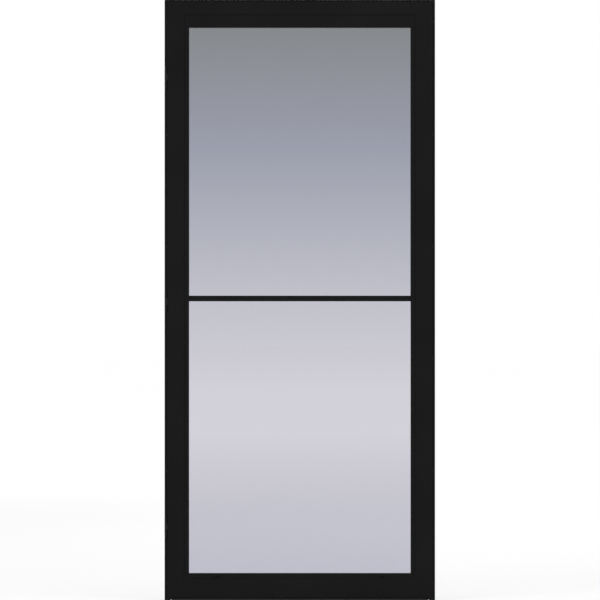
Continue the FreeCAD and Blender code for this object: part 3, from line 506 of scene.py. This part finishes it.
class RuleTree(NodeDesk):
    """A Geometry Nodes tree with named inputs, run on an object and made a plain mesh."""

    def __init__(self, name: str, sizes: Mapping[str, float | int]) -> None:
        """Makes the tree's inputs: the geometry, each size and a finish.

        Args:
            name: The tree's name.
            sizes: Named inputs with their values; whole numbers become whole-number inputs.
        """
        super().__init__(bpy.data.node_groups.new(name, "GeometryNodeTree"))
        self.values = dict(sizes)
        kinds = {"Geometry": "Geometry", "Finish": "Material"}
        for label in ("Geometry", *sizes, "Finish"):
            kind = kinds.get(label) or ("Int" if isinstance(sizes[label], int) else "Float")
            self.tree.interface.new_socket(label, in_out="INPUT", socket_type="NodeSocket" + kind)
        self.tree.interface.new_socket("Geometry", in_out="OUTPUT", socket_type="NodeSocketGeometry")
        self.given = self.add("NodeGroupInput").outputs

    def upward(self, height: Feed) -> Socket:
        """A vector along +Z of the given length."""
        return self.add("ShaderNodeCombineXYZ", {"Z": height}).outputs[0]

    def scaled(self, vector: Socket, share: Feed) -> Socket:
        """A vector times a number."""
        feeds = {0: vector, "Scale": share}
        return self.add("ShaderNodeVectorMath", feeds, operation="SCALE").outputs[0]

    def summed(self, first: Feed, second: Feed) -> Socket:
        """The sum of two vectors."""
        return self.add("ShaderNodeVectorMath", {0: first, 1: second}, operation="ADD").outputs[0]

    def flipped(self, number: Socket) -> Socket:
        """A number with its sign changed."""
        return self.math("MULTIPLY", number, -1.0)

    def scatter(self, reach: Point, seed: Feed) -> Socket:
        """A random vector for each element, up to reach either way along each axis."""
        feeds = {0: tuple(-length for length in reach), 1: reach, "Seed": seed}
        return self.add("FunctionNodeRandomValue", feeds, data_type="FLOAT_VECTOR").outputs[0]

    def attribute(self, name: str) -> Socket:
        """A vector that the points carry by name."""
        node = self.add("GeometryNodeInputNamedAttribute", {"Name": name}, data_type="FLOAT_VECTOR")
        return node.outputs[0]

    def aimed(self, direction: Socket) -> Socket:
        """The turn that points +Z in a direction."""
        feeds = {"Vector": direction}
        return self.add("FunctionNodeAlignRotationToVector", feeds, axis="Z").outputs[0]

    def ring(self, sides: Feed, radius: Feed) -> Socket:
        """A closed ring of straight sides."""
        feeds = {"Resolution": sides, "Radius": radius}
        return self.add("GeometryNodeCurvePrimitiveCircle", feeds).outputs[0]

    def swept(self, route: Socket, section: Socket, scale: Feed = 1.0) -> Socket:
        """A section swept along a route and closed at both ends."""
        feeds = {"Curve": route, "Profile Curve": section, "Scale": scale, "Fill Caps": True}
        return self.add("GeometryNodeCurveToMesh", feeds).outputs[0]

    def placed(self, points: Socket, shape: Socket, turn: Feed = (0.0, 0.0, 0.0)) -> Socket:
        """A shape set on every point."""
        feeds = {"Points": points, "Instance": shape, "Rotation": turn}
        return self.add("GeometryNodeInstanceOnPoints", feeds).outputs[0]

    def end(self, geometry: Socket) -> None:
        """Ends the tree: instances made real, then the finish set.

        Args:
            geometry: What the tree has made.
        """
        real = self.add("GeometryNodeRealizeInstances", {0: geometry})
        dressed = self.add(
            "GeometryNodeSetMaterial", {"Geometry": real.outputs[0], "Material": self.given["Finish"]}
        )
        self.add("NodeGroupOutput", {0: dressed.outputs[0]})

    def run(self, piece: bpy.types.Object, finish: bpy.types.Material) -> bpy.types.Object:
        """Runs the tree on a piece and keeps the result as its plain mesh.

        Args:
            piece: The object whose mesh feeds the tree.
            finish: The material of the result.

        Returns:
            The same object, with no modifier left.
        """
        modifier = piece.modifiers.new(self.tree.name, "NODES")
        modifier.node_group = self.tree
        for item in self.tree.interface.items_tree:
            if item.in_out == "INPUT" and item.name in self.values:
                modifier[item.identifier] = self.values[item.name]
            elif item.in_out == "INPUT" and item.name == "Finish":
                modifier[item.identifier] = finish
        graph = bpy.context.evaluated_depsgraph_get()
        made = bpy.data.meshes.new_from_object(piece.evaluated_get(graph))
        piece.modifiers.remove(modifier)
        made.materials.clear()
        made.materials.append(finish)
        piece.data = made
        made.name = piece.name
        return piece


def new_piece(name: str, mesh: bpy.types.Mesh) -> bpy.types.Object:
    """Puts a mesh in the scene at the origin.

    Args:
        name: The piece's name.
        mesh: Its mesh, with its place in its points.

    Returns:
        The new object.
    """
    piece = bpy.data.objects.new(name, mesh)
    bpy.context.scene.collection.objects.link(piece)
    return piece


def mark(mesh: bpy.types.Mesh, name: str, vectors: Sequence[Vector]) -> None:
    """Gives each point of a mesh a vector by name.

    Args:
        mesh: The mesh.
        name: The vectors' name.
        vectors: One for each point.
    """
    attribute = mesh.attributes.new(name, "FLOAT_VECTOR", "POINT")
    for item, vector in zip(attribute.data, vectors):
        item.vector = vector


def seated_points(name: str, seats: Sequence[Seat]) -> bpy.types.Object:
    """An object of loose points that know which way they face.

    Args:
        name: The object's name.
        seats: (place, direction faced) of each point.

    Returns:
        The object.
    """
    mesh = bpy.data.meshes.new(name)
    mesh.from_pydata([place for place, _ in seats], [], [])
    mark(mesh, FACING, [direction for _, direction in seats])
    return new_piece(name, mesh)


def settle(piece: bpy.types.Object, body: Body) -> None:
    """Rides a piece on its body and reports it.

    Args:
        piece: The piece.
        body: The body that carries it.
    """
    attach(piece, body.value)
    log.info("%s: %d faces on %s", piece.name, len(piece.data.polygons), body.value)


def dress(slot: Slot, nodes: Sequence[str]) -> None:
    """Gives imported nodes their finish.

    Args:
        slot: The slot whose finish they take.
        nodes: Their names.
    """
    for node in nodes:
        slots = frame["nodes"][node].data.materials
        slots.clear()
        slots.append(FINISHES[slot])
        log.info("%s: %s", node, FINISHES[slot].name)


@dataclass(frozen=True)
class Screw:
    """A screw with a cross recess, its head seated on a face and its shank behind it."""

    head_radius: float
    head_height: float
    shape: HeadShape
    shank_radius: float = 0.0018
    shank_length: float = 0.0012
    shank_profile: tuple[Range, ...] = ((0.0, 1.0), (0.74, 0.92), (1.0, 0.06))
    thread_turns: int = 0
    thread_steps: int = 10
    thread_sides: int = 4
    thread_depth: float = 0.0004
    sink: float = 0.0001
    recess_width: float = 0.26
    recess_reach: float = 0.62
    recess_depth: float = 0.55
    sides: int = 20
    stations: int = 9
    seed: int = 7

    def turned(
        self, tree: RuleTree, height: Feed, radius: Feed, profile: Sequence[Range]
    ) -> Socket:
        """A closed turned form on +Z.

        Args:
            tree: The tree to add to.
            height: Its height, below zero where it hangs.
            radius: Its largest radius.
            profile: (share of the height, share of the radius).

        Returns:
            Its mesh.
        """
        line = tree.add("GeometryNodeCurvePrimitiveLine", {"End": tree.upward(height)})
        feeds = {"Curve": line.outputs[0], "Count": tree.given["Stations"]}
        axis = tree.add("GeometryNodeResampleCurve", feeds)
        along = tree.add("GeometryNodeSplineParameter").outputs["Factor"]
        shares = tree.add("ShaderNodeFloatCurve", {"Value": along})
        points = shares.mapping.curves[0].points
        while len(points) < len(profile):
            points.new(0.5, 0.5)
        for point, place in zip(points, profile):
            point.location = place
            point.handle_type = "VECTOR"
        shares.mapping.update()
        reach = tree.math("MULTIPLY", shares.outputs[0], radius)
        return tree.swept(axis.outputs[0], tree.ring(tree.given["Sides"], 1.0), reach)

    def head(self, tree: RuleTree) -> Socket:
        """The head, with a cross recess cut in its top.

        Args:
            tree: The tree to add to.

        Returns:
            Its mesh.
        """
        given = tree.given
        head = self.turned(tree, given["Head Height"], given["Head Radius"], self.shape.value)
        top = tree.upward(given["Head Height"])
        deep = tree.math("MULTIPLY", given["Recess Depth"], 2.0)
        for along, across in (("X", "Y"), ("Y", "X")):
            span = {along: given["Recess Reach"], across: given["Recess Width"], "Z": deep}
            size = tree.add("ShaderNodeCombineXYZ", span)
            arm = tree.add("GeometryNodeMeshCube", {"Size": size.outputs[0]})
            feeds = {"Geometry": arm.outputs[0], "Translation": top}
            raised = tree.add("GeometryNodeTransform", feeds)
            feeds = {0: head, 1: raised.outputs[0]}
            cut = tree.add("GeometryNodeMeshBoolean", feeds, operation="DIFFERENCE", solver="EXACT")
            head = cut.outputs[0]
        return head

    def shank(self, tree: RuleTree) -> Socket:
        """The shank, pointed at its tip."""
        drop = tree.flipped(tree.given["Shank Length"])
        return self.turned(tree, drop, tree.given["Shank Radius"], self.shank_profile)

    def thread(self, tree: RuleTree) -> Socket:
        """The thread, wound down the straight part of the shank.

        Args:
            tree: The tree to add to.

        Returns:
            Its mesh.
        """
        given = tree.given
        (_, full), (straight, slim), _ = self.shank_profile
        helix = tree.add(
            "GeometryNodeCurveSpiral",
            {
                "Resolution": given["Thread Steps"],
                "Rotations": given["Thread Turns"],
                "Start Radius": tree.math("MULTIPLY", given["Shank Radius"], full),
                "End Radius": tree.math("MULTIPLY", given["Shank Radius"], slim),
                "Height": tree.math("MULTIPLY", given["Shank Length"], -straight),
            },
        )
        level = tree.add("GeometryNodeSetCurveNormal", {"Curve": helix.outputs[0]}, mode="Z_UP")
        return tree.swept(level.outputs[0], tree.ring(self.thread_sides, given["Thread Depth"]))

    def tree(self, name: str) -> RuleTree:
        """The tree that sets a screw at every point, turned at random about its axis.

        Args:
            name: The tree's name.

        Returns:
            The tree.
        """
        tree = RuleTree(
            name,
            {
                "Head Radius": self.head_radius,
                "Head Height": self.head_height,
                "Shank Radius": self.shank_radius,
                "Shank Length": self.shank_length,
                "Thread Turns": self.thread_turns,
                "Thread Steps": self.thread_steps,
                "Thread Depth": self.thread_depth,
                "Sink": self.sink,
                "Recess Width": self.recess_width * self.head_radius,
                "Recess Reach": self.recess_reach * 2 * self.head_radius,
                "Recess Depth": self.recess_depth * self.head_height,
                "Sides": self.sides,
                "Stations": self.stations,
                "Seed": self.seed,
            },
        )
        given = tree.given
        meshes = [self.head(tree), self.shank(tree)]
        if self.thread_turns:
            meshes.append(self.thread(tree))
        whole = tree.add("GeometryNodeJoinGeometry")
        for mesh in meshes:
            tree.feed(whole.inputs[0], mesh)
        drop = tree.upward(tree.flipped(given["Sink"]))
        sunk = tree.add("GeometryNodeTransform", {"Geometry": whole.outputs[0], "Translation": drop})
        feeds = {3: math.tau, "Seed": given["Seed"]}
        chance = tree.add("FunctionNodeRandomValue", feeds, data_type="FLOAT")
        spin = tree.add("FunctionNodeEulerToRotation", {0: tree.upward(chance.outputs[1])})
        feeds = {0: tree.aimed(tree.attribute(FACING)), 1: spin.outputs[0]}
        turn = tree.add("FunctionNodeRotateRotation", feeds, rotation_space="LOCAL")
        tree.end(tree.placed(given["Geometry"], sunk.outputs[0], turn.outputs[0]))
        return tree

    def row(self, name: str, body: Body, seats: Sequence[Seat]) -> None:
        """Sets a screw on every seat.

        Args:
            name: The piece's name.
            body: The body that it rides on.
            seats: (place on the face, direction that the face looks).
        """
        piece = self.tree(name + "_rule").run(seated_points(name, seats), SCREW_PAINT)
        settle(piece, body)


@dataclass(frozen=True)
class PileStrip:
    """Weatherstrip pile: a woven backing with rows of tufts that lean a little, each its own way."""

    backing_depth: float = 0.0012
    tuft_length: float = 0.0058
    tuft_radius: float = 0.00062
    tuft_sides: int = 4
    tuft_taper: float = 0.35
    pitch: float = 0.0012
    rows: int = 4
    row_spacing: float = 0.00115
    lean: float = 0.1
    jitter: float = 0.0003
    seed: int = 11

    def tree(self) -> RuleTree:
        """The tree that stands tufts along every edge of its geometry, in rows across the strip.

        Returns:
            The tree.
        """
        tree = RuleTree(
            "pile_rule",
            {
                "Pitch": self.pitch,
                "Rows": self.rows,
                "Row Spacing": self.row_spacing,
                "Tuft Length": self.tuft_length,
                "Tuft Radius": self.tuft_radius,
                "Tuft Sides": self.tuft_sides,
                "Tuft Taper": self.tuft_taper,
                "Lean": self.lean,
                "Jitter": self.jitter,
                "Seed": self.seed,
            },
        )
        given = tree.given
        runs = tree.add("GeometryNodeMeshToCurve", {"Mesh": given["Geometry"]})
        feeds = {"Curve": runs.outputs[0], "Length": given["Pitch"]}
        stations = tree.add("GeometryNodeCurveToPoints", feeds, mode="LENGTH")
        feeds = {"Geometry": stations.outputs[0], "Amount": given["Rows"]}
        rows = tree.add("GeometryNodeDuplicateElements", feeds, domain="POINT")
        middle = tree.math("MULTIPLY", tree.math("SUBTRACT", given["Rows"], 1.0), 0.5)
        step = tree.math("SUBTRACT", rows.outputs["Duplicate Index"], middle)
        away = tree.math("MULTIPLY", step, given["Row Spacing"])
        aside = tree.scaled(tree.attribute(ACROSS), away)
        loose = tree.scaled(tree.scatter((1.0, 0.0, 1.0), given["Seed"]), given["Jitter"])
        feeds = {"Geometry": rows.outputs[0], "Offset": tree.summed(aside, loose)}
        laid = tree.add("GeometryNodeSetPosition", feeds)
        tuft = tree.add(
            "GeometryNodeMeshCone",
            {
                "Vertices": given["Tuft Sides"],
                "Radius Top": tree.math("MULTIPLY", given["Tuft Radius"], given["Tuft Taper"]),
                "Radius Bottom": given["Tuft Radius"],
                "Depth": given["Tuft Length"],
            },
        )
        sway = tree.scatter((1.0, 1.0, 1.0), tree.math("ADD", given["Seed"], 1.0))
        upright = tree.summed(OUTDOORS, tree.scaled(sway, given["Lean"]))
        tree.end(tree.placed(laid.outputs[0], tuft.outputs[0], tree.aimed(upright)))
        return tree

    def build(self, nodes: Sequence[str]) -> None:
        """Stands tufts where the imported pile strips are, on a backing in their pockets.

        Args:
            nodes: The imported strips.
        """
        points, edges, sideways = [], [], []
        backing = bmesh.new()
        for node in nodes:
            low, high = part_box(node)
            size = high - low
            along, across = Vector((0, 0, 1)), Vector((1, 0, 0))
            if size.x > size.z:
                along, across = across, along
            floor = (low + high) / 2
            floor.y = high.y
            reach = along * (size.dot(along) / 2 - self.pitch)
            root = floor + OUTDOORS * self.backing_depth
            edges.append((len(points), len(points) + 1))
            points += [root - reach, root + reach]
            sideways += [across, across]
            size.y = self.backing_depth
            place = Matrix.LocRotScale((floor + root) / 2, None, size)
            bmesh.ops.create_cube(backing, size=1.0, matrix=place)
        mesh = bpy.data.meshes.new("weatherstrip_pile")
        mesh.from_pydata(points, edges, [])
        mark(mesh, ACROSS, sideways)
        piece = self.tree().run(new_piece("weatherstrip_pile", mesh), FINISHES[Slot.PILE])
        backing.from_mesh(piece.data)
        backing.to_mesh(piece.data)
        backing.free()
        settle(piece, Body.FRAME)
        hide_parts(*nodes)


@dataclass(frozen=True)
class DoorFrame:
    """Z-bar frame: three bars, their screws in the flanges and their pile."""

    bars: tuple[str, ...] = ("hinge_z_bar", "latch_z_bar", "head_z_bar")
    piles: tuple[str, ...] = ("hinge_side_pile", "latch_side_pile", "head_pile")
    screw: Screw = Screw(
        0.0041, 0.0024, HeadShape.PAN, shank_radius=0.0019, shank_length=0.019, thread_turns=9
    )

    def flange_seats(self) -> list[Seat]:
        """Where the screws sit, from the record's bolt patterns and the flange's front face.

        Returns:
            (place, direction faced) of each screw.
        """
        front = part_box(self.bars[0])[0].y
        seats = []
        for mount in frame["record"]["mounts"]:
            if mount["kind"] != "bolt_pattern":
                continue
            x, _, z = mount["pos_m"]
            half_x = mount["dims"]["spacing_x_mm"] * MILLIMETRE / 2
            half_z = mount["dims"].get("spacing_y_mm", 0.0) * MILLIMETRE / 2
            for place in sorted({(x + a * half_x, z + b * half_z) for a in (-1, 1) for b in (-1, 1)}):
                seats.append((Vector((place[0], front, place[1])), OUTDOORS))
        return seats

    def build(self) -> None:
        """Dresses the bars, drives the screws and fits the pile."""
        dress(Slot.POWDER_COAT, self.bars)
        dress(Slot.PILE, self.piles)
        self.screw.row("flange_screws", Body.FRAME, self.flange_seats())
        PileStrip().build(self.piles)


@dataclass(frozen=True)
class HingeSet:
    """Three hinges: plates with barrels, pins, and three screws in every plate."""

    nodes: tuple[str, ...] = ("hinge_frame_plates", "hinge_leaf_plates", "hinge_pins")
    count: int = 3
    length: float = 0.064
    screw_spread: float = 0.0235
    plate_thickness: float = 0.0018
    frame_screw_inset: float = 0.0035
    leaf_screw_inset: float = 0.0075
    screw: Screw = Screw(0.0031, 0.0009, HeadShape.OVAL)

    def heights(self) -> list[float]:
        """Middle heights of the hinges.

        Returns:
            Their heights, from the lowest up.
        """
        low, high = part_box(self.nodes[0])
        pitch = (high.z - low.z - self.length) / (self.count - 1)
        return [low.z + self.length / 2 + step * pitch for step in range(self.count)]

    def seats(self, place: Vector, facing: Vector) -> list[Seat]:
        """Seats of the screws in all plates on one side.

        Args:
            place: A screw's place but for its height.
            facing: The direction that the plates look.

        Returns:
            (place, direction faced) of each screw.
        """
        rises = [height + step * self.screw_spread for height in self.heights() for step in (-1, 0, 1)]
        return [(Vector((place.x, place.y, rise)), facing) for rise in rises]

    def build(self) -> None:
        """Dresses the plates and pins and drives the screws."""
        dress(Slot.HINGE_STEEL, self.nodes)
        frame_edge, leaf_edge = (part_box(plates)[1] for plates in self.nodes[:2])
        wall = self.plate_thickness
        on_frame = Vector((frame_edge.x - self.frame_screw_inset, frame_edge.y - wall, 0.0))
        on_leaf = Vector((leaf_edge.x - wall, leaf_edge.y - self.leaf_screw_inset, 0.0))
        self.screw.row("hinge_frame_screws", Body.FRAME, self.seats(on_frame, OUTDOORS))
        self.screw.row("hinge_leaf_screws", Body.LEAF, self.seats(on_leaf, HINGE_SIDE))


@dataclass(frozen=True)
class LeafFrame:
    """The leaf's stiles, rails, foot and retainers, with the screws that join them."""

    metal: tuple[str, ...] = (
        "hinge_stile",
        "latch_stile",
        "top_rail",
        "bottom_rail",
        "bottom_expander",
        "hinge_side_retainer",
        "latch_side_retainer",
        "head_retainer",
        "foot_retainer",
    )
    retainer_pitch: float = 0.31
    retainer_margin: float = 0.06
    corner_inset: float = 0.0095
    corner_spread: float = 0.008
    foot_screw_rise: float = 0.0105
    foot_screw_spread: float = 0.3
    retainer_screw: Screw = Screw(0.0031, 0.0016, HeadShape.PAN)
    corner_screw: Screw = Screw(0.0036, 0.0009, HeadShape.OVAL)

    def retainer_seats(self) -> list[Seat]:
        """Evenly spaced seats along the middle of each retainer, looking indoors.

        Returns:
            (place, direction faced) of each screw.
        """
        seats = []
        for node in (name for name in self.metal if name.endswith("retainer")):
            low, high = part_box(node)
            axis = 2 if (high - low).z > (high - low).x else 0
            span = high[axis] - low[axis] - 2 * self.retainer_margin
            count = max(2, round(span / self.retainer_pitch) + 1)
            for step in range(count):
                place = (low + high) / 2
                place.y = high.y
                place[axis] = low[axis] + self.retainer_margin + step * span / (count - 1)
                seats.append((place, INDOORS))
        return seats

    def corner_seats(self) -> list[Seat]:
        """Two seats at each corner, on the stiles' outer edges, over the rails' ends.

        Returns:
            (place, direction faced) of each screw.
        """
        seats = []
        bottom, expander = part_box("bottom_rail"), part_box("bottom_expander")
        depth = (bottom[0].y + bottom[1].y) / 2
        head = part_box("hinge_stile")[1].z - self.corner_inset
        foot = (bottom[0].z + bottom[1].z) / 2 + self.corner_inset
        for edge, facing in ((expander[0].x, HINGE_SIDE), (expander[1].x, LATCH_SIDE)):
            for height in (head, foot):
                for step in (-1, 1):
                    seats.append((Vector((edge, depth + step * self.corner_spread, height)), facing))
        return seats

    def foot_seats(self) -> list[Seat]:
        """Seats of the expander's screws, on the bottom rail's indoor face.

        Returns:
            (place, direction faced) of each screw.
        """
        low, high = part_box("bottom_rail")
        middle = Vector(((low.x + high.x) / 2, high.y, low.z + self.foot_screw_rise))
        return [(middle + LATCH_SIDE * step * self.foot_screw_spread, INDOORS) for step in (-1, 0, 1)]

    def build(self) -> None:
        """Dresses the metal and the sweep and drives the screws."""
        dress(Slot.POWDER_COAT, self.metal)
        dress(Slot.VINYL, ["bottom_sweep"])
        self.retainer_screw.row("retainer_screws", Body.LEAF, self.retainer_seats())
        self.corner_screw.row("corner_screws", Body.LEAF, self.corner_seats())
        self.retainer_screw.row("foot_screws", Body.LEAF, self.foot_seats())


@dataclass(frozen=True)
class GripRibs:
    """Ribs in the thumb scoop of each sash latch."""

    count: int = 7
    spacing: float = 0.0026
    radius: float = 0.00045
    length: float = 0.0085
    sides: int = 8
    scoop_radius: float = 0.014
    scoop_depth: float = 0.0024

    def tree(self) -> RuleTree:
        """The tree that lays an upright rib on every point.

        Returns:
            The tree.
        """
        sizes = {"Rib Length": self.length, "Rib Radius": self.radius, "Sides": self.sides}
        tree = RuleTree("rib_rule", sizes)
        given = tree.given
        half = tree.math("MULTIPLY", given["Rib Length"], 0.5)
        foot = tree.upward(tree.flipped(half))
        line = tree.add("GeometryNodeCurvePrimitiveLine", {"Start": foot, "End": tree.upward(half)})
        rib = tree.swept(line.outputs[0], tree.ring(given["Sides"], given["Rib Radius"]))
        tree.end(tree.placed(given["Geometry"], rib))
        return tree

    def build(self, latch_length: float, bolt_reach: float) -> None:
        """Lays the ribs in both latches' scoops.

        Args:
            latch_length: Length of a latch's body.
            bolt_reach: How far a latch's bolt reaches past its body.
        """
        low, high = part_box("sash_latches")
        inset = bolt_reach + latch_length / 2
        axis = high.y + self.scoop_radius - self.scoop_depth
        height = (low.z + high.z) / 2
        seats = []
        for middle in (low.x + inset, high.x - inset):
            for step in range(self.count):
                aside = (step - (self.count - 1) / 2) * self.spacing
                inward = axis - math.sqrt(self.scoop_radius**2 - aside**2)
                seats.append((Vector((middle + aside, inward, height)), INDOORS))
        piece = self.tree().run(seated_points("latch_grip_ribs", seats), FINISHES[Slot.BLACK_PLASTIC])
        settle(piece, Body.LEAF)


@dataclass(frozen=True)
class WindowInsert:
    """Tracks, sill, screen cassette, panes, sash rails, gaskets and sash latches."""

    metal: tuple[str, ...] = (
        "hinge_side_track",
        "latch_side_track",
        "glazing_sill",
        "screen_cassette",
        "cassette_cover",
        "screen_pull_bar",
        "upper_sash_top_rail",
        "upper_meeting_rail",
        "lower_meeting_rail",
    )
    panes: tuple[str, ...] = ("upper_glass", "lower_glass")
    gaskets: tuple[str, ...] = ("upper_glass_gaskets", "lower_glass_gaskets")
    plastic: tuple[str, ...] = ("cassette_end_plates", "sash_latches")
    latch_length: float = 0.046
    bolt_reach: float = 0.019
    ribs: GripRibs = GripRibs()

    def build(self) -> None:
        """Dresses every piece and lays the latches' ribs."""
        dress(Slot.POWDER_COAT, self.metal)
        dress(Slot.CLEAR_GLASS, self.panes)
        dress(Slot.VINYL, self.gaskets)
        dress(Slot.BLACK_PLASTIC, self.plastic)
        dress(Slot.SCREEN_MESH, ["screen_roll"])
        dress(Slot.PILE, ["meeting_rail_seal"])
        self.ribs.build(self.latch_length, self.bolt_reach)


@dataclass(frozen=True)
class Lamp:
    """A square soft box that looks at the door."""

    name: str
    place: Point
    side: float
    power: float

    def build(self, target: Vector) -> None:
        """Hangs the lamp.

        Args:
            target: The point that it looks at.
        """
        data = bpy.data.lights.new(self.name, "AREA")
        data.shape = "SQUARE"
        data.size = self.side
        data.energy = self.power
        lamp = bpy.data.objects.new(self.name, data)
        lamp.location = self.place
        lamp.rotation_euler = (target - Vector(self.place)).to_track_quat("-Z", "Y").to_euler()
        bpy.context.scene.collection.objects.link(lamp)


@dataclass(frozen=True)
class Studio:
    """Pale floor, white surround, soft boxes and the camera.

    Attributes:
        floor_seen_colour: The floor's colour where it is seen, with its glow added to it.
        glow_near: (distance from the door, glow) where the floor's glow starts to grow.
        glow_far: The same where it has grown.
        surround: How bright the surround is where it only lights.
        fill: The door's height as a share of the picture's.
        aside: How far the camera stands from the door's middle, towards the latch side.
        sight: How far the camera sees.
    """

    floor_side: float = 120.0
    floor_drop: float = 0.0004
    floor_colour: float = 0.8
    floor_seen_colour: float = 0.4
    glow_near: Range = (4.0, 0.58)
    glow_far: Range = (8.0, 0.755)
    surround: float = 0.6
    lens: float = 200.0
    sensor: float = 36.0
    fill: float = 1.0016
    aside: float = 0.0006
    sight: float = 200.0
    lamps: tuple[Lamp, ...] = (
        Lamp("key_box", (-4.2, -3.6, 3.8), 2.6, 150.0),
        Lamp("fill_box", (5.4, -2.8, 2.6), 2.6, 110.0),
        Lamp("back_box", (1.4, 4.8, 4.2), 2.6, 100.0),
    )

    def seen_directly(self, desk: NodeDesk) -> Socket:
        """Tells the rays that show the studio from those that only light it.

        Args:
            desk: The node tree to add to.

        Returns:
            1 for rays from the camera, or that it sends on by gloss or through glass, and 0 for others.
        """
        path = desk.add("ShaderNodeLightPath").outputs
        sent_on = desk.math("MAXIMUM", path["Is Glossy Ray"], path["Is Transmission Ray"])
        return desk.math("MAXIMUM", path["Is Camera Ray"], sent_on)

    def build_surround(self) -> None:
        """White where it is seen, softer where it only lights."""
        world = bpy.data.worlds.new("white_surround")
        world.use_nodes = True
        world.node_tree.nodes.clear()
        desk = NodeDesk(world.node_tree)
        soft = desk.add("ShaderNodeBackground", {"Color": WHITE, "Strength": self.surround})
        white = desk.add("ShaderNodeBackground", {"Color": WHITE, "Strength": 1.0})
        feeds = {0: self.seen_directly(desk), 1: soft.outputs[0], 2: white.outputs[0]}
        mixed = desk.add("ShaderNodeMixShader", feeds)
        desk.add("ShaderNodeOutputWorld", {"Surface": mixed.outputs[0]})
        bpy.context.scene.world = world

    def build_floor(self) -> None:
        """Pale floor that keeps the door's shadow and meets the white surround."""
        half = self.floor_side / 2
        mesh = bpy.data.meshes.new("floor")
        corners = [(-half, -half), (half, -half), (half, half), (-half, half)]
        mesh.from_pydata([(x, y, -self.floor_drop) for x, y in corners], [], [(0, 1, 2, 3)])
        floor = new_piece("floor", mesh)
        material = bpy.data.materials.new("pale_floor")
        material.use_nodes = True
        material.node_tree.nodes.clear()
        desk = NodeDesk(material.node_tree)
        seen = self.seen_directly(desk)
        drop = desk.math("MULTIPLY", seen, self.floor_colour - self.floor_seen_colour)
        tone = desk.math("SUBTRACT", self.floor_colour, drop)
        paint = desk.add("ShaderNodeBsdfDiffuse", {"Color": tone})
        foot = (CAD_BOX[0] + CAD_BOX[1]) / 2
        foot.z = 0.0
        place = desk.add("ShaderNodeTexCoord").outputs["Object"]
        away = desk.add("ShaderNodeVectorMath", {0: place, 1: foot}, operation="DISTANCE")
        reaches, glows = zip(self.glow_near, self.glow_far)
        spread = desk.span(away.outputs["Value"], glows, reaches, "SMOOTHSTEP")
        glow = desk.math("MULTIPLY", seen, spread)
        light = desk.add("ShaderNodeEmission", {"Color": WHITE, "Strength": glow})
        both = desk.add("ShaderNodeAddShader", {0: paint.outputs[0], 1: light.outputs[0]})
        desk.add("ShaderNodeOutputMaterial", {"Surface": both.outputs[0]})
        mesh.materials.append(material)

    def build_camera(self) -> None:
        """Camera square on to the door, which fills the picture from top to bottom."""
        low, high = CAD_BOX
        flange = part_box("hinge_z_bar")[0].y
        distance = (high.z - low.z) / self.fill * self.lens / self.sensor
        data = bpy.data.cameras.new("camera")
        data.lens = self.lens
        data.sensor_width = self.sensor
        data.clip_end = self.sight
        camera = bpy.data.objects.new("camera", data)
        middle = (low + high) / 2
        camera.location = (middle.x + self.aside, flange - distance, middle.z)
        camera.rotation_euler = (math.pi / 2, 0.0, 0.0)
        bpy.context.scene.collection.objects.link(camera)
        bpy.context.scene.camera = camera

    def build(self) -> None:
        """Sets the studio up."""
        bpy.context.scene.view_settings.view_transform = "Standard"
        self.build_surround()
        self.build_floor()
        target = (CAD_BOX[0] + CAD_BOX[1]) / 2
        for lamp in self.lamps:
            lamp.build(target)
        self.build_camera()


def main() -> None:
    """Builds the door's sub-assemblies and the studio in order."""
    logging.basicConfig(level=logging.INFO, format="%(message)s")
    for assembly in (DoorFrame(), HingeSet(), LeafFrame(), WindowInsert(), Studio()):
        log.info("Building %s", type(assembly).__name__)
        assembly.build()


if __name__ == "__main__":
    main()
